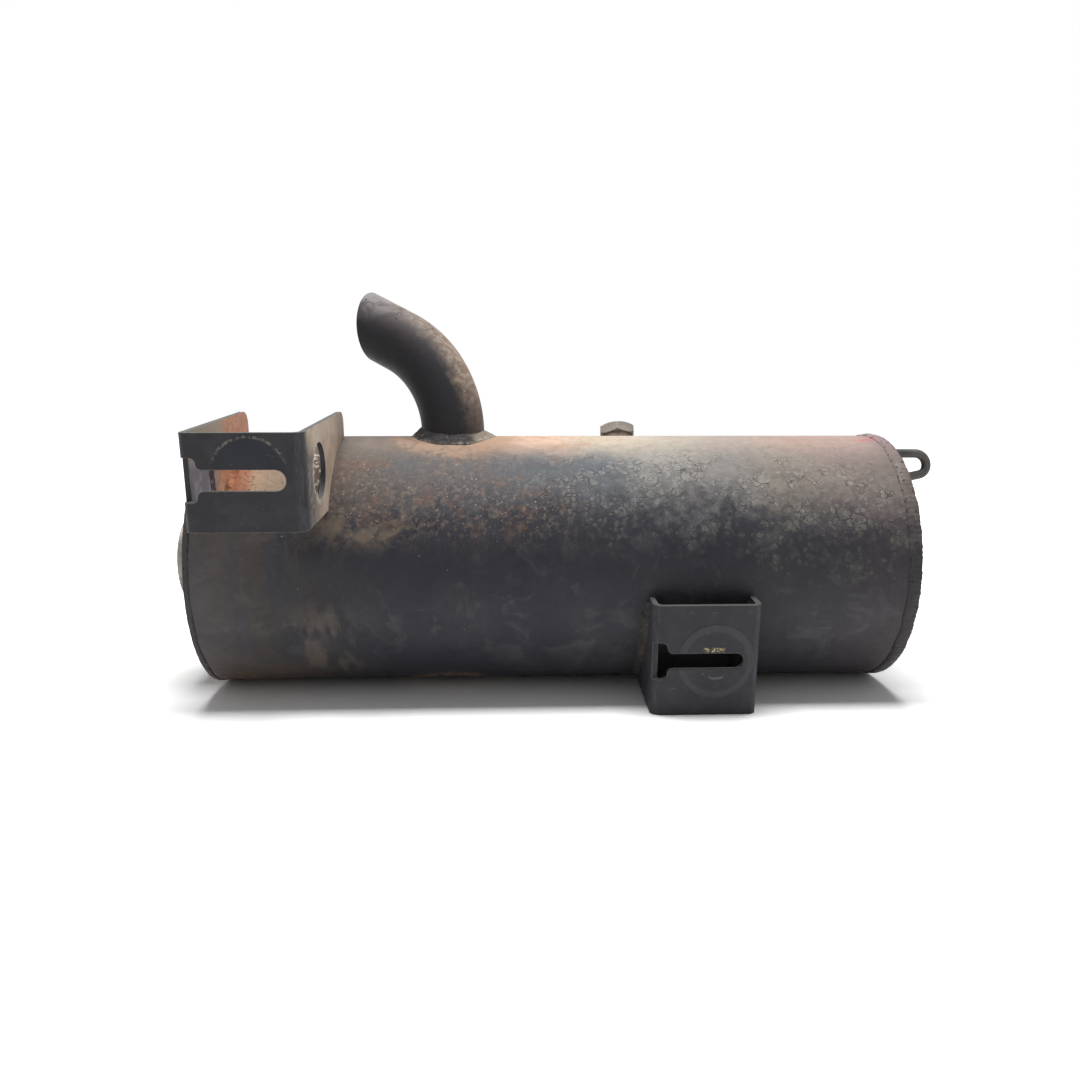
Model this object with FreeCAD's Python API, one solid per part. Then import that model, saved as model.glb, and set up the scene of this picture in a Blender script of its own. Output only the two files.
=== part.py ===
import FreeCAD, Part
import math
import os

from FreeCAD import Rotation, Vector

# Spark arrestor muffler for a small engine: a rolled cylindrical shell with two
# pressed heads, an axial inlet on the left, a bent tail pipe on top, two folded
# mounting brackets on the front, a hex clean-out plug and a bent rod loop.
# All sizes are millimetres. While it is modelled, the shell's axis is the X axis
# with the shell's middle at the origin, the front is -Y and up is +Z.

# Shell, a rolled sheet
shell_diameter = 165.1
shell_wall = 1.5
shell_length = 445.0
seam_bead_width = 4.5
seam_bead_height = 0.8
seam_angle = 125.0

# Pressed heads, whose rims sit inside the shell
head_wall = 2.0
head_rim_length = 14.0
head_knuckle = 5.0
head_ring_width = 32.0
head_panel_slope = 7.0
head_panel_rise = 2.5

# Weld beads that close the two ends
end_bead_reach = 1.1
left_bead_width = 2.5
left_bead_height = 0.5
right_bead_width = 7.5
right_bead_height = 1.0
# The hump of an end bead, as shares of its width and its height
bead_hump_ratios = [(1.0, 0.0), (0.75, 0.75), (0.4, 1.0), (0.0, 0.5)]
# Its inner corners in the head's wall, as shares of the knuckle's radius
bead_root_ratios = [(0.1, 0.6), (0.9, 0.16)]
# How deep its profile runs into the shell's wall at the toe, as a share of the wall
bead_toe_ratio = 0.25
# How far the middle of a hollow fillet stands out, as a share of its legs
hollow_fillet_ratio = 0.42

# Inlet tube, through the left head and both baffles
inlet_diameter = 57.2
inlet_wall = 2.0
inlet_reach = 23.5
inlet_swage_length = 16.0
inlet_taper_length = 4.0
inlet_neck_diameter = 50.8
inlet_tail = 6.0
inlet_weld_leg = 4.0
louvre_width = 5.0
louvre_length = 22.0
louvre_rows = 3
louvre_count = 8
louvre_margin = 16.0

# Baffles, measured from the left end of the shell
baffle_wall = 1.5
baffle_rim_length = 11.0
baffle_knuckle = 4.0
left_baffle_position = 202.5
right_baffle_position = 342.5
baffle_hole_diameter = 13.0
baffle_hole_count = 4
baffle_hole_step = 30.0

# Return tubes, through both baffles
return_diameter = 31.8
return_wall = 1.5
return_angle = 120.0
return_overhang = 12.0

# Swirl vanes and end cap inside the inlet tube
vane_count = 6
vane_pitch = 38.0
vane_wall = 1.5
vane_hub_diameter = 12.0
vane_length = 12.0
cap_wall = 2.0
cap_rim_length = 8.0

# Tail pipe: a short foot, one bend to the left and back, a short run, a plumb cut
tail_diameter = 42.0
tail_wall = 2.0
tail_position = 155.8
tail_inside = 22.0
tail_foot = 1.3
tail_bend_radius = 69.2
tail_bend_angle = 64.3
tail_run = 24.8
tail_turn = 26.0
tail_weld_leg = 7.0
tail_weld_height = 6.5
tail_weld_skirt = 12.0

# Sheet of both brackets
bracket_sheet = 3.0
bracket_weld_leg = 4.0

# Upper bracket, in its own upright frame
upper_face_distance = 125.3
upper_left = 19.2
upper_width = 65.1
upper_bottom = 46.7
upper_height = 53.8
upper_rear = 4.0
upper_rear_corner = 9.0
upper_left_bend = 1.0
upper_right_bend = 4.0
upper_slot_width = 11.6
upper_slot_height = 28.3
upper_slot_margin = 9.8
upper_head_height = 24.3
upper_head_length = 5.2
upper_head_wrap = 6.0
upper_hole_diameter = 33.0
upper_hole_depth = 39.7
upper_hole_height = 27.1

# Lower bracket, in the same upright frame
lower_face_distance = 100.9
lower_right = 102.2
lower_width = 64.7
lower_bottom = -74.2
lower_height = 69.5
lower_left_bend = 3.0
lower_right_bend = 2.0
lower_slot_width = 10.1
lower_slot_height = 34.5
lower_slot_margin = 9.6
lower_head_height = 23.2
lower_head_length = 5.7
lower_head_wrap = 4.0

# Clean-out boss and hex plug, leaning back from the top
cleanout_position = 272.9
cleanout_angle = 28.7
boss_diameter = 22.0
boss_height = 8.7
boss_depth = 4.5
boss_weld_leg = 3.0
plug_thread_diameter = 16.7
plug_thread_length = 19.0
plug_hex = 24.0
plug_hex_height = 7.3
plug_hex_turn = -5.0
plug_chamfer = 1.2
plug_chamfer_angle = 30.0
hex_sides = 6

# Rod loop on the right head: a level leg near the shell's top, a wide bend, a
# tighter bend below it and a second leg that slopes back to the head
loop_rod_diameter = 6.0
loop_straight = 25.1
loop_bend_radius = 8.5
loop_bend_angle = 100.0
loop_hook_radius = 5.5
loop_hook_angle = 68.0
loop_inset = 11.0
loop_angle = 8.65
loop_weld_leg = 2.5

# How far a cutter runs past the metal
overcut = 5.0

# Sizes that follow from those above
shell_radius = shell_diameter / 2
shell_bore = shell_radius - shell_wall
shell_end = shell_length / 2
inlet_radius = inlet_diameter / 2
neck_radius = inlet_neck_diameter / 2
between_radius = (neck_radius + shell_bore) / 2
head_panel_radius = shell_bore - head_knuckle - head_ring_width
tail_radius = tail_diameter / 2
return_radius = return_diameter / 2
boss_radius = boss_diameter / 2
thread_radius = plug_thread_diameter / 2
left_baffle_x = left_baffle_position - shell_end
right_baffle_x = right_baffle_position - shell_end
tail_x = tail_position - shell_end
cleanout_x = cleanout_position - shell_end

# The muffler lies on its beads and on the lower edge of the lower bracket, so
# both brackets lean forward by the angle that brings that edge to the floor.
rest_radius = shell_radius + max(left_bead_height, right_bead_height)
lower_edge_radius = math.hypot(lower_face_distance, lower_bottom)
lower_edge_angle = math.atan2(-lower_bottom, lower_face_distance)
bracket_lean = math.degrees(math.asin(rest_radius / lower_edge_radius) - lower_edge_angle)

centre = Vector(0, 0, 0)
along = Vector(1, 0, 0)
up = Vector(0, 0, 1)
full_turn = 360
# The sine and the cosine of 45 degrees, for the middles of quarter rounds
diagonal = math.sqrt(0.5)


def line(start, end):
    return Part.makeLine(start, end)


def arc(start, middle, end):
    return Part.Arc(start, middle, end).toShape()


def face_of(edges):
    return Part.Face(Part.Wire(edges))


def polygon_face(points):
    return Part.Face(Part.makePolygon(points + [points[0]]))


def spun(face):
    """A full turn of a profile about the shell's axis."""
    return face.revolve(centre, along, full_turn)


def tube(radius, wall, start, end):
    """A tube along the shell's axis."""
    length = end - start
    outside = Part.makeCylinder(radius, length, Vector(start, 0, 0), along)
    inside = Part.makeCylinder(radius - wall, length, Vector(start, 0, 0), along)
    return outside.cut(inside)


def shell_envelope():
    """The space inside the shell's outer surface, longer than the shell."""
    length = shell_length + 2 * overcut
    return Part.makeCylinder(shell_radius, length, Vector(-length / 2, 0, 0), along)


def leaned_back(shape, angle):
    """Turn a shape that stands on the top of the shell towards the back."""
    shape.rotate(centre, along, -angle)
    return shape


def leaned_forward(shape):
    """Turn a bracket from its upright frame to the way that the muffler lies."""
    shape.rotate(centre, along, bracket_lean)
    return shape


def on_right_end(shape):
    shape.translate(Vector(shell_end, 0, 0))
    return shape


def on_left_end(shape):
    shape.rotate(centre, up, 180)
    shape.translate(Vector(-shell_end, 0, 0))
    return shape


def make_shell():
    body = tube(shell_radius, shell_wall, -shell_end, shell_end)
    tail_hole = Part.makeCylinder(tail_radius, shell_diameter, Vector(tail_x, 0, 0), up)
    boss_hole = Part.makeCylinder(boss_radius, shell_diameter, Vector(cleanout_x, 0, 0), up)
    return body.cut([tail_hole, leaned_back(boss_hole, cleanout_angle)])


def make_seam_weld():
    """A low bead along the joint of the rolled sheet, low on the hidden side."""
    start = -shell_end + left_bead_width
    half = math.degrees(seam_bead_width / 2 / shell_radius)

    def on_circle(angle, radius):
        turn = math.radians(seam_angle + angle)
        return Vector(start, radius * math.sin(turn), radius * math.cos(turn))

    outside = arc(
        on_circle(-half, shell_radius),
        on_circle(0, shell_radius + seam_bead_height),
        on_circle(half, shell_radius),
    )
    inside = arc(
        on_circle(half, shell_radius),
        on_circle(0, shell_radius),
        on_circle(-half, shell_radius),
    )
    length = shell_length - left_bead_width - right_bead_width
    return face_of([outside, inside]).extrude(Vector(length, 0, 0))


def pressed_head(hole_radius):
    """A pressed head, its face at x = 0 looking along +X and its rim behind it."""
    wall = head_wall
    bend = head_knuckle
    flat = shell_bore - bend
    top = head_panel_radius - head_panel_slope
    rise = head_panel_rise
    edges = [
        line(Vector(-head_rim_length, 0, shell_bore), Vector(-bend, 0, shell_bore)),
        arc(
            Vector(-bend, 0, shell_bore),
            Vector(-bend + bend * diagonal, 0, flat + bend * diagonal),
            Vector(0, 0, flat),
        ),
        line(Vector(0, 0, flat), Vector(0, 0, head_panel_radius)),
        line(Vector(0, 0, head_panel_radius), Vector(rise, 0, top)),
        line(Vector(rise, 0, top), Vector(rise, 0, hole_radius)),
        line(Vector(rise, 0, hole_radius), Vector(rise - wall, 0, hole_radius)),
        line(Vector(rise - wall, 0, hole_radius), Vector(rise - wall, 0, top)),
        line(Vector(rise - wall, 0, top), Vector(-wall, 0, head_panel_radius)),
        line(Vector(-wall, 0, head_panel_radius), Vector(-wall, 0, flat)),
        line(Vector(-wall, 0, flat), Vector(-bend, 0, shell_bore - wall)),
        line(Vector(-bend, 0, shell_bore - wall), Vector(-head_rim_length, 0, shell_bore - wall)),
        line(Vector(-head_rim_length, 0, shell_bore - wall), Vector(-head_rim_length, 0, shell_bore)),
    ]
    return spun(face_of(edges))


def make_left_head():
    return on_left_end(pressed_head(neck_radius))


def make_right_head():
    return on_right_end(pressed_head(0))


def end_bead(width, height):
    """The bead in the groove between the shell's edge and a head's knuckle.

    It laps onto the shell by its width and stands proud by its height. The face
    of the shell's end is at x = 0. The profile runs on into the two walls, so
    that the shell and the head cut the bead to their own rounds.
    """
    points = [Vector(-part * width, 0, shell_radius + rise * height) for part, rise in bead_hump_ratios]
    points.append(Vector(end_bead_reach, 0, shell_radius - shell_wall))
    for part, drop in bead_root_ratios:
        points.append(Vector(-part * head_knuckle, 0, shell_bore - drop * head_knuckle))
    points.append(Vector(-width, 0, shell_radius - bead_toe_ratio * shell_wall))
    return spun(polygon_face(points))


def seated_bead(bead, head):
    return bead.cut([tube(shell_radius, shell_wall, -shell_end, shell_end), head])


def make_left_head_weld():
    return seated_bead(on_left_end(end_bead(left_bead_width, left_bead_height)), make_left_head())


def make_right_head_weld():
    return seated_bead(on_right_end(end_bead(right_bead_width, right_bead_height)), make_right_head())


def inlet_outline(radius, neck):
    """The inlet's full round: a swaged mouth, a taper and a long neck."""
    mouth_x = -shell_end - inlet_reach
    taper_x = mouth_x + inlet_swage_length
    neck_x = taper_x + inlet_taper_length
    end_x = right_baffle_x + inlet_tail
    return spun(polygon_face([
        Vector(mouth_x, 0, 0),
        Vector(mouth_x, 0, radius),
        Vector(taper_x, 0, radius),
        Vector(neck_x, 0, neck),
        Vector(end_x, 0, neck),
        Vector(end_x, 0, 0),
    ]))


def make_inlet_tube():
    """The axial inlet: a swaged mouth, and louvres between the baffles."""
    bore = neck_radius - inlet_wall
    inside = inlet_outline(inlet_radius - inlet_wall, bore)
    body = inlet_outline(inlet_radius, neck_radius).cut(inside)
    first = left_baffle_x + louvre_margin
    last = right_baffle_x - louvre_margin - louvre_length
    step = (last - first) / (louvre_rows - 1)
    cutters = []
    for row in range(louvre_rows):
        stagger = (row % 2) / 2
        for place in range(louvre_count):
            cutter = Part.makeBox(louvre_length, louvre_width, inlet_wall + 2 * overcut)
            cutter.translate(Vector(first + row * step, -louvre_width / 2, bore - overcut))
            cutter.rotate(centre, along, full_turn * (place + stagger) / louvre_count)
            cutters.append(cutter)
    return body.cut(cutters)


def make_inlet_weld():
    """A fillet between the inlet's taper and the raised panel of the left head."""
    leg = inlet_weld_leg
    face_x = -shell_end - head_panel_rise
    toe_x = face_x - leg
    fillet = spun(polygon_face([
        Vector(face_x, 0, neck_radius - inlet_wall),
        Vector(face_x, 0, inlet_radius + leg),
        Vector(face_x - hollow_fillet_ratio * leg, 0, inlet_radius + hollow_fillet_ratio * leg),
        Vector(toe_x, 0, inlet_radius),
        Vector(toe_x, 0, neck_radius - inlet_wall),
    ]))
    return fillet.cut(inlet_outline(inlet_radius, neck_radius))


def baffle_blank():
    """A flanged disc, its flat side at x = 0 and its rim towards +X.

    Its fold is a slope of 45 degrees with the same wall all the way.
    """
    wall = baffle_wall
    bend = baffle_knuckle
    flat = shell_bore - bend
    inner = bend - wall * math.tan(math.radians(45 / 2))
    blank = spun(polygon_face([
        Vector(0, 0, neck_radius),
        Vector(0, 0, flat),
        Vector(bend, 0, shell_bore),
        Vector(baffle_rim_length, 0, shell_bore),
        Vector(baffle_rim_length, 0, shell_bore - wall),
        Vector(inner + wall, 0, shell_bore - wall),
        Vector(wall, 0, shell_bore - inner - wall),
        Vector(wall, 0, neck_radius),
    ]))
    return blank.cut([return_bar(side, 0, wall) for side in (-1, 1)])


def return_bar(side, start, end):
    """The full round of one return tube from start to end along the shell."""
    bar = Part.makeCylinder(return_radius, end - start, Vector(start, 0, between_radius), along)
    bar.rotate(centre, along, side * return_angle)
    return bar


def make_left_baffle():
    baffle = baffle_blank()
    baffle.translate(Vector(left_baffle_x, 0, 0))
    return baffle


def make_right_baffle():
    """The right baffle also has an arc of round holes over the inlet tube."""
    baffle = baffle_blank()
    drills = []
    for place in range(baffle_hole_count):
        drill = Part.makeCylinder(
            baffle_hole_diameter / 2, baffle_wall, Vector(0, 0, between_radius), along
        )
        drill.rotate(centre, along, (place - (baffle_hole_count - 1) / 2) * baffle_hole_step)
        drills.append(drill)
    baffle = baffle.cut(drills)
    baffle.translate(Vector(right_baffle_x, 0, 0))
    return baffle


def make_return_tube(side):
    start = left_baffle_x - return_overhang
    length = right_baffle_x + return_overhang - start
    seat = Vector(start, 0, between_radius)
    outside = Part.makeCylinder(return_radius, length, seat, along)
    inside = Part.makeCylinder(return_radius - return_wall, length, seat, along)
    pipe = outside.cut(inside)
    pipe.rotate(centre, along, side * return_angle)
    return pipe


def make_swirl_vanes():
    """A ring of pitched blades between a hub and a band that fits the inlet tube."""
    bore = neck_radius - inlet_wall
    hub = Part.makeCylinder(vane_hub_diameter / 2, vane_length, Vector(-vane_length / 2, 0, 0), along)
    band = tube(bore, vane_wall, -vane_length / 2, vane_length / 2)
    room = Part.makeCylinder(bore - vane_wall / 2, vane_length, Vector(-vane_length / 2, 0, 0), along)
    blades = []
    for place in range(vane_count):
        blade = Part.makeBox(2 * vane_length, vane_wall, bore)
        blade.translate(Vector(-vane_length, -vane_wall / 2, 0))
        blade.rotate(centre, up, vane_pitch)
        blade.rotate(centre, along, place * full_turn / vane_count)
        blades.append(blade.common(room))
    vanes = hub.fuse([band] + blades).removeSplitter()
    vanes.translate(Vector(left_baffle_x, 0, 0))
    return vanes


def make_inlet_cap():
    """A pressed cup that closes the far end of the inlet tube."""
    bore = neck_radius - inlet_wall
    end = right_baffle_x + inlet_tail
    cup = Part.makeCylinder(bore, cap_rim_length, Vector(end - cap_rim_length, 0, 0), along)
    hollow = Part.makeCylinder(
        bore - cap_wall, cap_rim_length - cap_wall, Vector(end - cap_rim_length + cap_wall, 0, 0), along
    )
    return cup.cut(hollow)


def tail_heading():
    """The level direction in which the tail pipe bends."""
    turn = math.radians(tail_turn)
    return Vector(-math.cos(turn), math.sin(turn), 0)


def tail_solid(radius, run):
    """A full round along the tail pipe's line, and the middle of the pipe's mouth."""
    heading = tail_heading()
    start = Vector(tail_x, 0, shell_bore - tail_inside)
    bend_start = Vector(tail_x, 0, shell_radius + tail_foot)
    bend_centre = bend_start + heading * tail_bend_radius

    def on_bend(angle):
        turn = math.radians(angle)
        level = heading * (tail_bend_radius * math.cos(turn))
        rise = up * (tail_bend_radius * math.sin(turn))
        return bend_centre - level + rise

    bend_end = on_bend(tail_bend_angle)
    turn = math.radians(tail_bend_angle)
    leaving = heading * math.sin(turn) + up * math.cos(turn)
    path = Part.Wire([
        line(start, bend_start),
        arc(bend_start, on_bend(tail_bend_angle / 2), bend_end),
        line(bend_end, bend_end + leaving * run),
    ])
    section = Part.Wire([Part.makeCircle(radius, start, up)])
    return path.makePipeShell([section], True, True), bend_end + leaving * tail_run


def make_tail_pipe():
    """The tail pipe, cut plumb at its mouth."""
    spare = tail_radius / math.tan(math.radians(tail_bend_angle)) + overcut
    outside, mouth = tail_solid(tail_radius, tail_run + spare)
    inside = tail_solid(tail_radius - tail_wall, tail_run + spare)[0]
    reach = 2 * tail_diameter
    beyond = Part.makeBox(reach, 2 * reach, 2 * reach)
    beyond.translate(Vector(0, -reach, -reach))
    beyond.rotate(centre, up, 180 - tail_turn)
    beyond.translate(mouth)
    return outside.cut(inside).cut(beyond)


def make_tail_weld():
    """A hollow fillet round the foot of the tail pipe, following the shell."""
    leg = tail_weld_leg
    low = shell_radius - leg
    middle = shell_radius + hollow_fillet_ratio * tail_weld_height
    top = shell_radius + tail_weld_height
    flare = polygon_face([
        Vector(0, 0, low),
        Vector(tail_radius + tail_weld_skirt, 0, low),
        Vector(tail_radius + leg, 0, shell_radius),
        Vector(tail_radius + hollow_fillet_ratio * leg, 0, middle),
        Vector(tail_radius, 0, top),
        Vector(0, 0, top),
    ])
    collar = flare.revolve(centre, up, full_turn)
    collar.translate(Vector(tail_x, 0, 0))
    pipe = tail_solid(tail_radius, tail_run)[0]
    return collar.cut([shell_envelope(), pipe])


def folded_channel(left, width, face_distance, bottom, height, left_bend, right_bend, rear, rear_corner):
    """A sheet folded into a U: the web faces the front, the flanges run back.

    The bends are inside radii. The rear top corners of the flanges are rounded.
    """
    right = left + width
    front = -face_distance
    sheet = bracket_sheet
    inset = 1 - diagonal
    left_out = left_bend + sheet
    right_out = right_bend + sheet

    def at(x, y):
        return Vector(x, y, bottom)

    plan = face_of([
        line(at(left, rear), at(left, front + left_out)),
        arc(
            at(left, front + left_out),
            at(left + left_out * inset, front + left_out * inset),
            at(left + left_out, front),
        ),
        line(at(left + left_out, front), at(right - right_out, front)),
        arc(
            at(right - right_out, front),
            at(right - right_out * inset, front + right_out * inset),
            at(right, front + right_out),
        ),
        line(at(right, front + right_out), at(right, rear)),
        line(at(right, rear), at(right - sheet, rear)),
        line(at(right - sheet, rear), at(right - sheet, front + right_out)),
        arc(
            at(right - sheet, front + right_out),
            at(right - sheet - right_bend * inset, front + sheet + right_bend * inset),
            at(right - right_out, front + sheet),
        ),
        line(at(right - right_out, front + sheet), at(left + left_out, front + sheet)),
        arc(
            at(left + left_out, front + sheet),
            at(left + sheet + left_bend * inset, front + sheet + left_bend * inset),
            at(left + sheet, front + left_out),
        ),
        line(at(left + sheet, front + left_out), at(left + sheet, rear)),
        line(at(left + sheet, rear), at(left, rear)),
    ])
    channel = plan.extrude(Vector(0, 0, height))
    top = bottom + height

    def beside(y, z):
        return Vector(left, y, z)

    side = face_of([
        line(beside(front, bottom), beside(rear, bottom)),
        line(beside(rear, bottom), beside(rear, top - rear_corner)),
        arc(
            beside(rear, top - rear_corner),
            beside(rear - rear_corner * inset, top - rear_corner * inset),
            beside(rear - rear_corner, top),
        ),
        line(beside(rear - rear_corner, top), beside(front, top)),
        line(beside(front, top), beside(front, bottom)),
    ])
    return channel.common(side.extrude(Vector(width, 0, 0)))


def wrapped_slot(left, slot_end, front, height, width, head_height, head_length, wrap):
    """The cutter of a T-shaped slot whose wide head runs round the left bend.

    The narrow part has a round end at the right. The head is as deep as it wraps.
    """
    ease = (head_height - width) / 4
    half = width / 2
    half_head = head_height / 2
    near = front - overcut
    start = left - overcut
    shoulder = left + head_length

    def at(x, rise):
        return Vector(x, near, height + rise)

    def step(side):
        """The two quarter rounds from the head to the narrow part, on one side."""
        return [
            arc(
                at(shoulder, side * half_head),
                at(shoulder + ease * diagonal, side * (half_head - ease + ease * diagonal)),
                at(shoulder + ease, side * (half_head - ease)),
            ),
            arc(
                at(shoulder + ease, side * (half_head - ease)),
                at(shoulder + 2 * ease - ease * diagonal, side * (half + ease - ease * diagonal)),
                at(shoulder + 2 * ease, side * half),
            ),
        ]

    outline = [
        line(at(start, half_head), at(shoulder, half_head)),
        *step(1),
        line(at(shoulder + 2 * ease, half), at(slot_end - half, half)),
        arc(at(slot_end - half, half), at(slot_end, 0), at(slot_end - half, -half)),
        line(at(slot_end - half, -half), at(shoulder + 2 * ease, -half)),
        *step(-1),
        line(at(shoulder, -half_head), at(start, -half_head)),
        line(at(start, -half_head), at(start, half_head)),
    ]
    ordered = Part.Wire(Part.__sortEdges__(outline))
    return Part.Face(ordered).extrude(Vector(0, overcut + wrap, 0))


def make_upper_bracket():
    """The upper bracket, coped to the shell, with a round hole in its right flange."""
    left = upper_left - shell_end
    right = left + upper_width
    channel = folded_channel(
        left, upper_width, upper_face_distance, upper_bottom, upper_height,
        upper_left_bend, upper_right_bend, -upper_rear, upper_rear_corner,
    )
    slot = wrapped_slot(
        left, right - upper_slot_margin, -upper_face_distance,
        upper_bottom + upper_slot_height,
        upper_slot_width, upper_head_height, upper_head_length, upper_head_wrap,
    )
    hole = Part.makeCylinder(
        upper_hole_diameter / 2,
        bracket_sheet + 2 * overcut,
        Vector(
            right - bracket_sheet - overcut,
            upper_hole_depth - upper_face_distance,
            upper_bottom + upper_hole_height,
        ),
        along,
    )
    return leaned_forward(channel.cut([shell_envelope(), slot, hole]))


def make_lower_bracket():
    """The lower bracket, coped to the shell down to its lower edge."""
    left = shell_end - lower_right - lower_width
    channel = folded_channel(
        left, lower_width, lower_face_distance, lower_bottom, lower_height,
        lower_left_bend, lower_right_bend, -bracket_sheet, bracket_sheet,
    )
    slot = wrapped_slot(
        left, left + lower_width - lower_slot_margin, -lower_face_distance,
        lower_bottom + lower_slot_height,
        lower_slot_width, lower_head_height, lower_head_length, lower_head_wrap,
    )
    return leaned_forward(channel.cut([shell_envelope(), slot]))


def flange_weld(flange_face, outward, high, low):
    """A fillet in the corner between a flange and the shell.

    The flange's face is at x = flange_face, the fillet lies on the side that
    outward gives, and it runs round the shell from the height high down to low.
    """
    leg = bracket_weld_leg
    hollow = hollow_fillet_ratio * leg
    corner = polygon_face([
        Vector(flange_face, 0, shell_radius),
        Vector(flange_face + outward * leg, 0, shell_radius),
        Vector(flange_face + outward * hollow, 0, shell_radius + hollow),
        Vector(flange_face, 0, shell_radius + leg),
    ])
    first = math.degrees(math.acos(high / shell_radius))
    last = math.degrees(math.acos(low / shell_radius))
    corner.rotate(centre, along, first)
    return leaned_forward(corner.revolve(centre, along, last - first))


def make_upper_bracket_weld(side):
    """The two fillets of the upper bracket lie inside its channel."""
    left = upper_left - shell_end
    face = {"left": left + bracket_sheet, "right": left + upper_width - bracket_sheet}[side]
    outward = {"left": 1, "right": -1}[side]
    high = math.sqrt(shell_radius**2 - (upper_rear + bracket_sheet) ** 2)
    return flange_weld(face, outward, high, upper_bottom + bracket_sheet)


def make_lower_bracket_weld(side):
    """The left fillet lies outside the channel, the right one inside it."""
    right = shell_end - lower_right
    face = {"left": right - lower_width, "right": right - bracket_sheet}[side]
    high = lower_bottom + lower_height - bracket_sheet
    return flange_weld(face, -1, high, lower_bottom + bracket_sheet)


def make_cleanout_boss():
    """A round boss through the shell, bored for the plug's thread."""
    start = shell_radius - shell_wall - boss_depth
    length = shell_radius + boss_height - start
    seat = Vector(cleanout_x, 0, start)
    outside = Part.makeCylinder(boss_radius, length, seat, up)
    inside = Part.makeCylinder(thread_radius, length, seat, up)
    return leaned_back(outside.cut(inside), cleanout_angle)


def make_cleanout_weld():
    """A fillet round the boss, following the shell."""
    leg = boss_weld_leg
    low = shell_radius - leg
    flare = polygon_face([
        Vector(0, 0, low),
        Vector(boss_radius + 2 * leg, 0, low),
        Vector(boss_radius, 0, shell_radius + leg),
        Vector(0, 0, shell_radius + leg),
    ])
    collar = flare.revolve(centre, up, full_turn)
    collar.translate(Vector(cleanout_x, 0, 0))
    boss = Part.makeCylinder(boss_radius, shell_diameter, Vector(cleanout_x, 0, 0), up)
    return leaned_back(collar.cut(boss), cleanout_angle).cut(shell_envelope())


def make_cleanout_plug():
    """A hex plug, chamfered on both faces of its head, seated on the boss."""
    seat = shell_radius + boss_height
    half = plug_hex / 2
    corner = half / math.cos(math.pi / hex_sides)
    points = []
    for place in range(hex_sides):
        turn = math.radians(full_turn * place / hex_sides + plug_hex_turn)
        points.append(Vector(corner * math.sin(turn), -corner * math.cos(turn), seat))
    hexagon = polygon_face(points).extrude(Vector(0, 0, plug_hex_height))
    rim = half + plug_chamfer / math.tan(math.radians(plug_chamfer_angle))
    round_off = polygon_face([
        Vector(0, 0, seat),
        Vector(half, 0, seat),
        Vector(rim, 0, seat + plug_chamfer),
        Vector(rim, 0, seat + plug_hex_height - plug_chamfer),
        Vector(half, 0, seat + plug_hex_height),
        Vector(0, 0, seat + plug_hex_height),
    ]).revolve(centre, up, full_turn)
    end = thread_radius - plug_chamfer
    thread = polygon_face([
        Vector(0, 0, seat),
        Vector(thread_radius, 0, seat),
        Vector(thread_radius, 0, seat - plug_thread_length + plug_chamfer),
        Vector(end, 0, seat - plug_thread_length),
        Vector(0, 0, seat - plug_thread_length),
    ]).revolve(centre, up, full_turn)
    plug = hexagon.common(round_off).fuse(thread)
    plug.translate(Vector(cleanout_x, 0, 0))
    return leaned_back(plug, cleanout_angle)


def loop_feet():
    """Where the loop's level leg and its sloping leg meet the right head."""
    turn = math.radians(loop_angle)
    radius = shell_radius - loop_inset
    upper = Vector(shell_end, -radius * math.sin(turn), radius * math.cos(turn))
    points, leaving = loop_bends(upper)
    lower = points[-1] + leaving * ((shell_end - points[-1].x) / leaving.x)
    return upper, lower


def loop_bends(foot):
    """Both bends as start, middle and end points, and the way out of the last."""
    first = loop_bend_angle
    last = first + loop_hook_angle

    def turned(angle):
        turn = math.radians(angle)
        return Vector(math.sin(turn), 0, math.cos(turn))

    bend_centre = foot + along * loop_straight - up * loop_bend_radius
    hook_centre = bend_centre + turned(first) * (loop_bend_radius - loop_hook_radius)
    points = [
        bend_centre + turned(0) * loop_bend_radius,
        bend_centre + turned(first / 2) * loop_bend_radius,
        bend_centre + turned(first) * loop_bend_radius,
        hook_centre + turned((first + last) / 2) * loop_hook_radius,
        hook_centre + turned(last) * loop_hook_radius,
    ]
    return points, turned(last + 90)


def make_hanger_loop():
    """A round rod bent into a loop, its two legs butted on the right head."""
    upper, lower = loop_feet()
    points, leaving = loop_bends(upper)
    path = Part.Wire([
        line(upper, points[0]),
        arc(points[0], points[1], points[2]),
        arc(points[2], points[3], points[4]),
        line(points[4], lower + leaving * loop_rod_diameter),
    ])
    section = Part.Wire([Part.makeCircle(loop_rod_diameter / 2, upper, along)])
    rod = path.makePipeShell([section], True, True)
    size = 2 * shell_diameter
    beyond = Part.makeBox(size, size, size, Vector(shell_end - size, -size / 2, -size / 2))
    return rod.cut(beyond)


def make_hanger_loop_welds():
    """A fillet round the foot of each leg of the loop."""
    radius = loop_rod_diameter / 2
    leg = loop_weld_leg
    rod = make_hanger_loop()
    welds = [Part.makeCone(radius + leg, radius, leg, foot, along).cut(rod) for foot in loop_feet()]
    return Part.makeCompound(welds)


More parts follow.
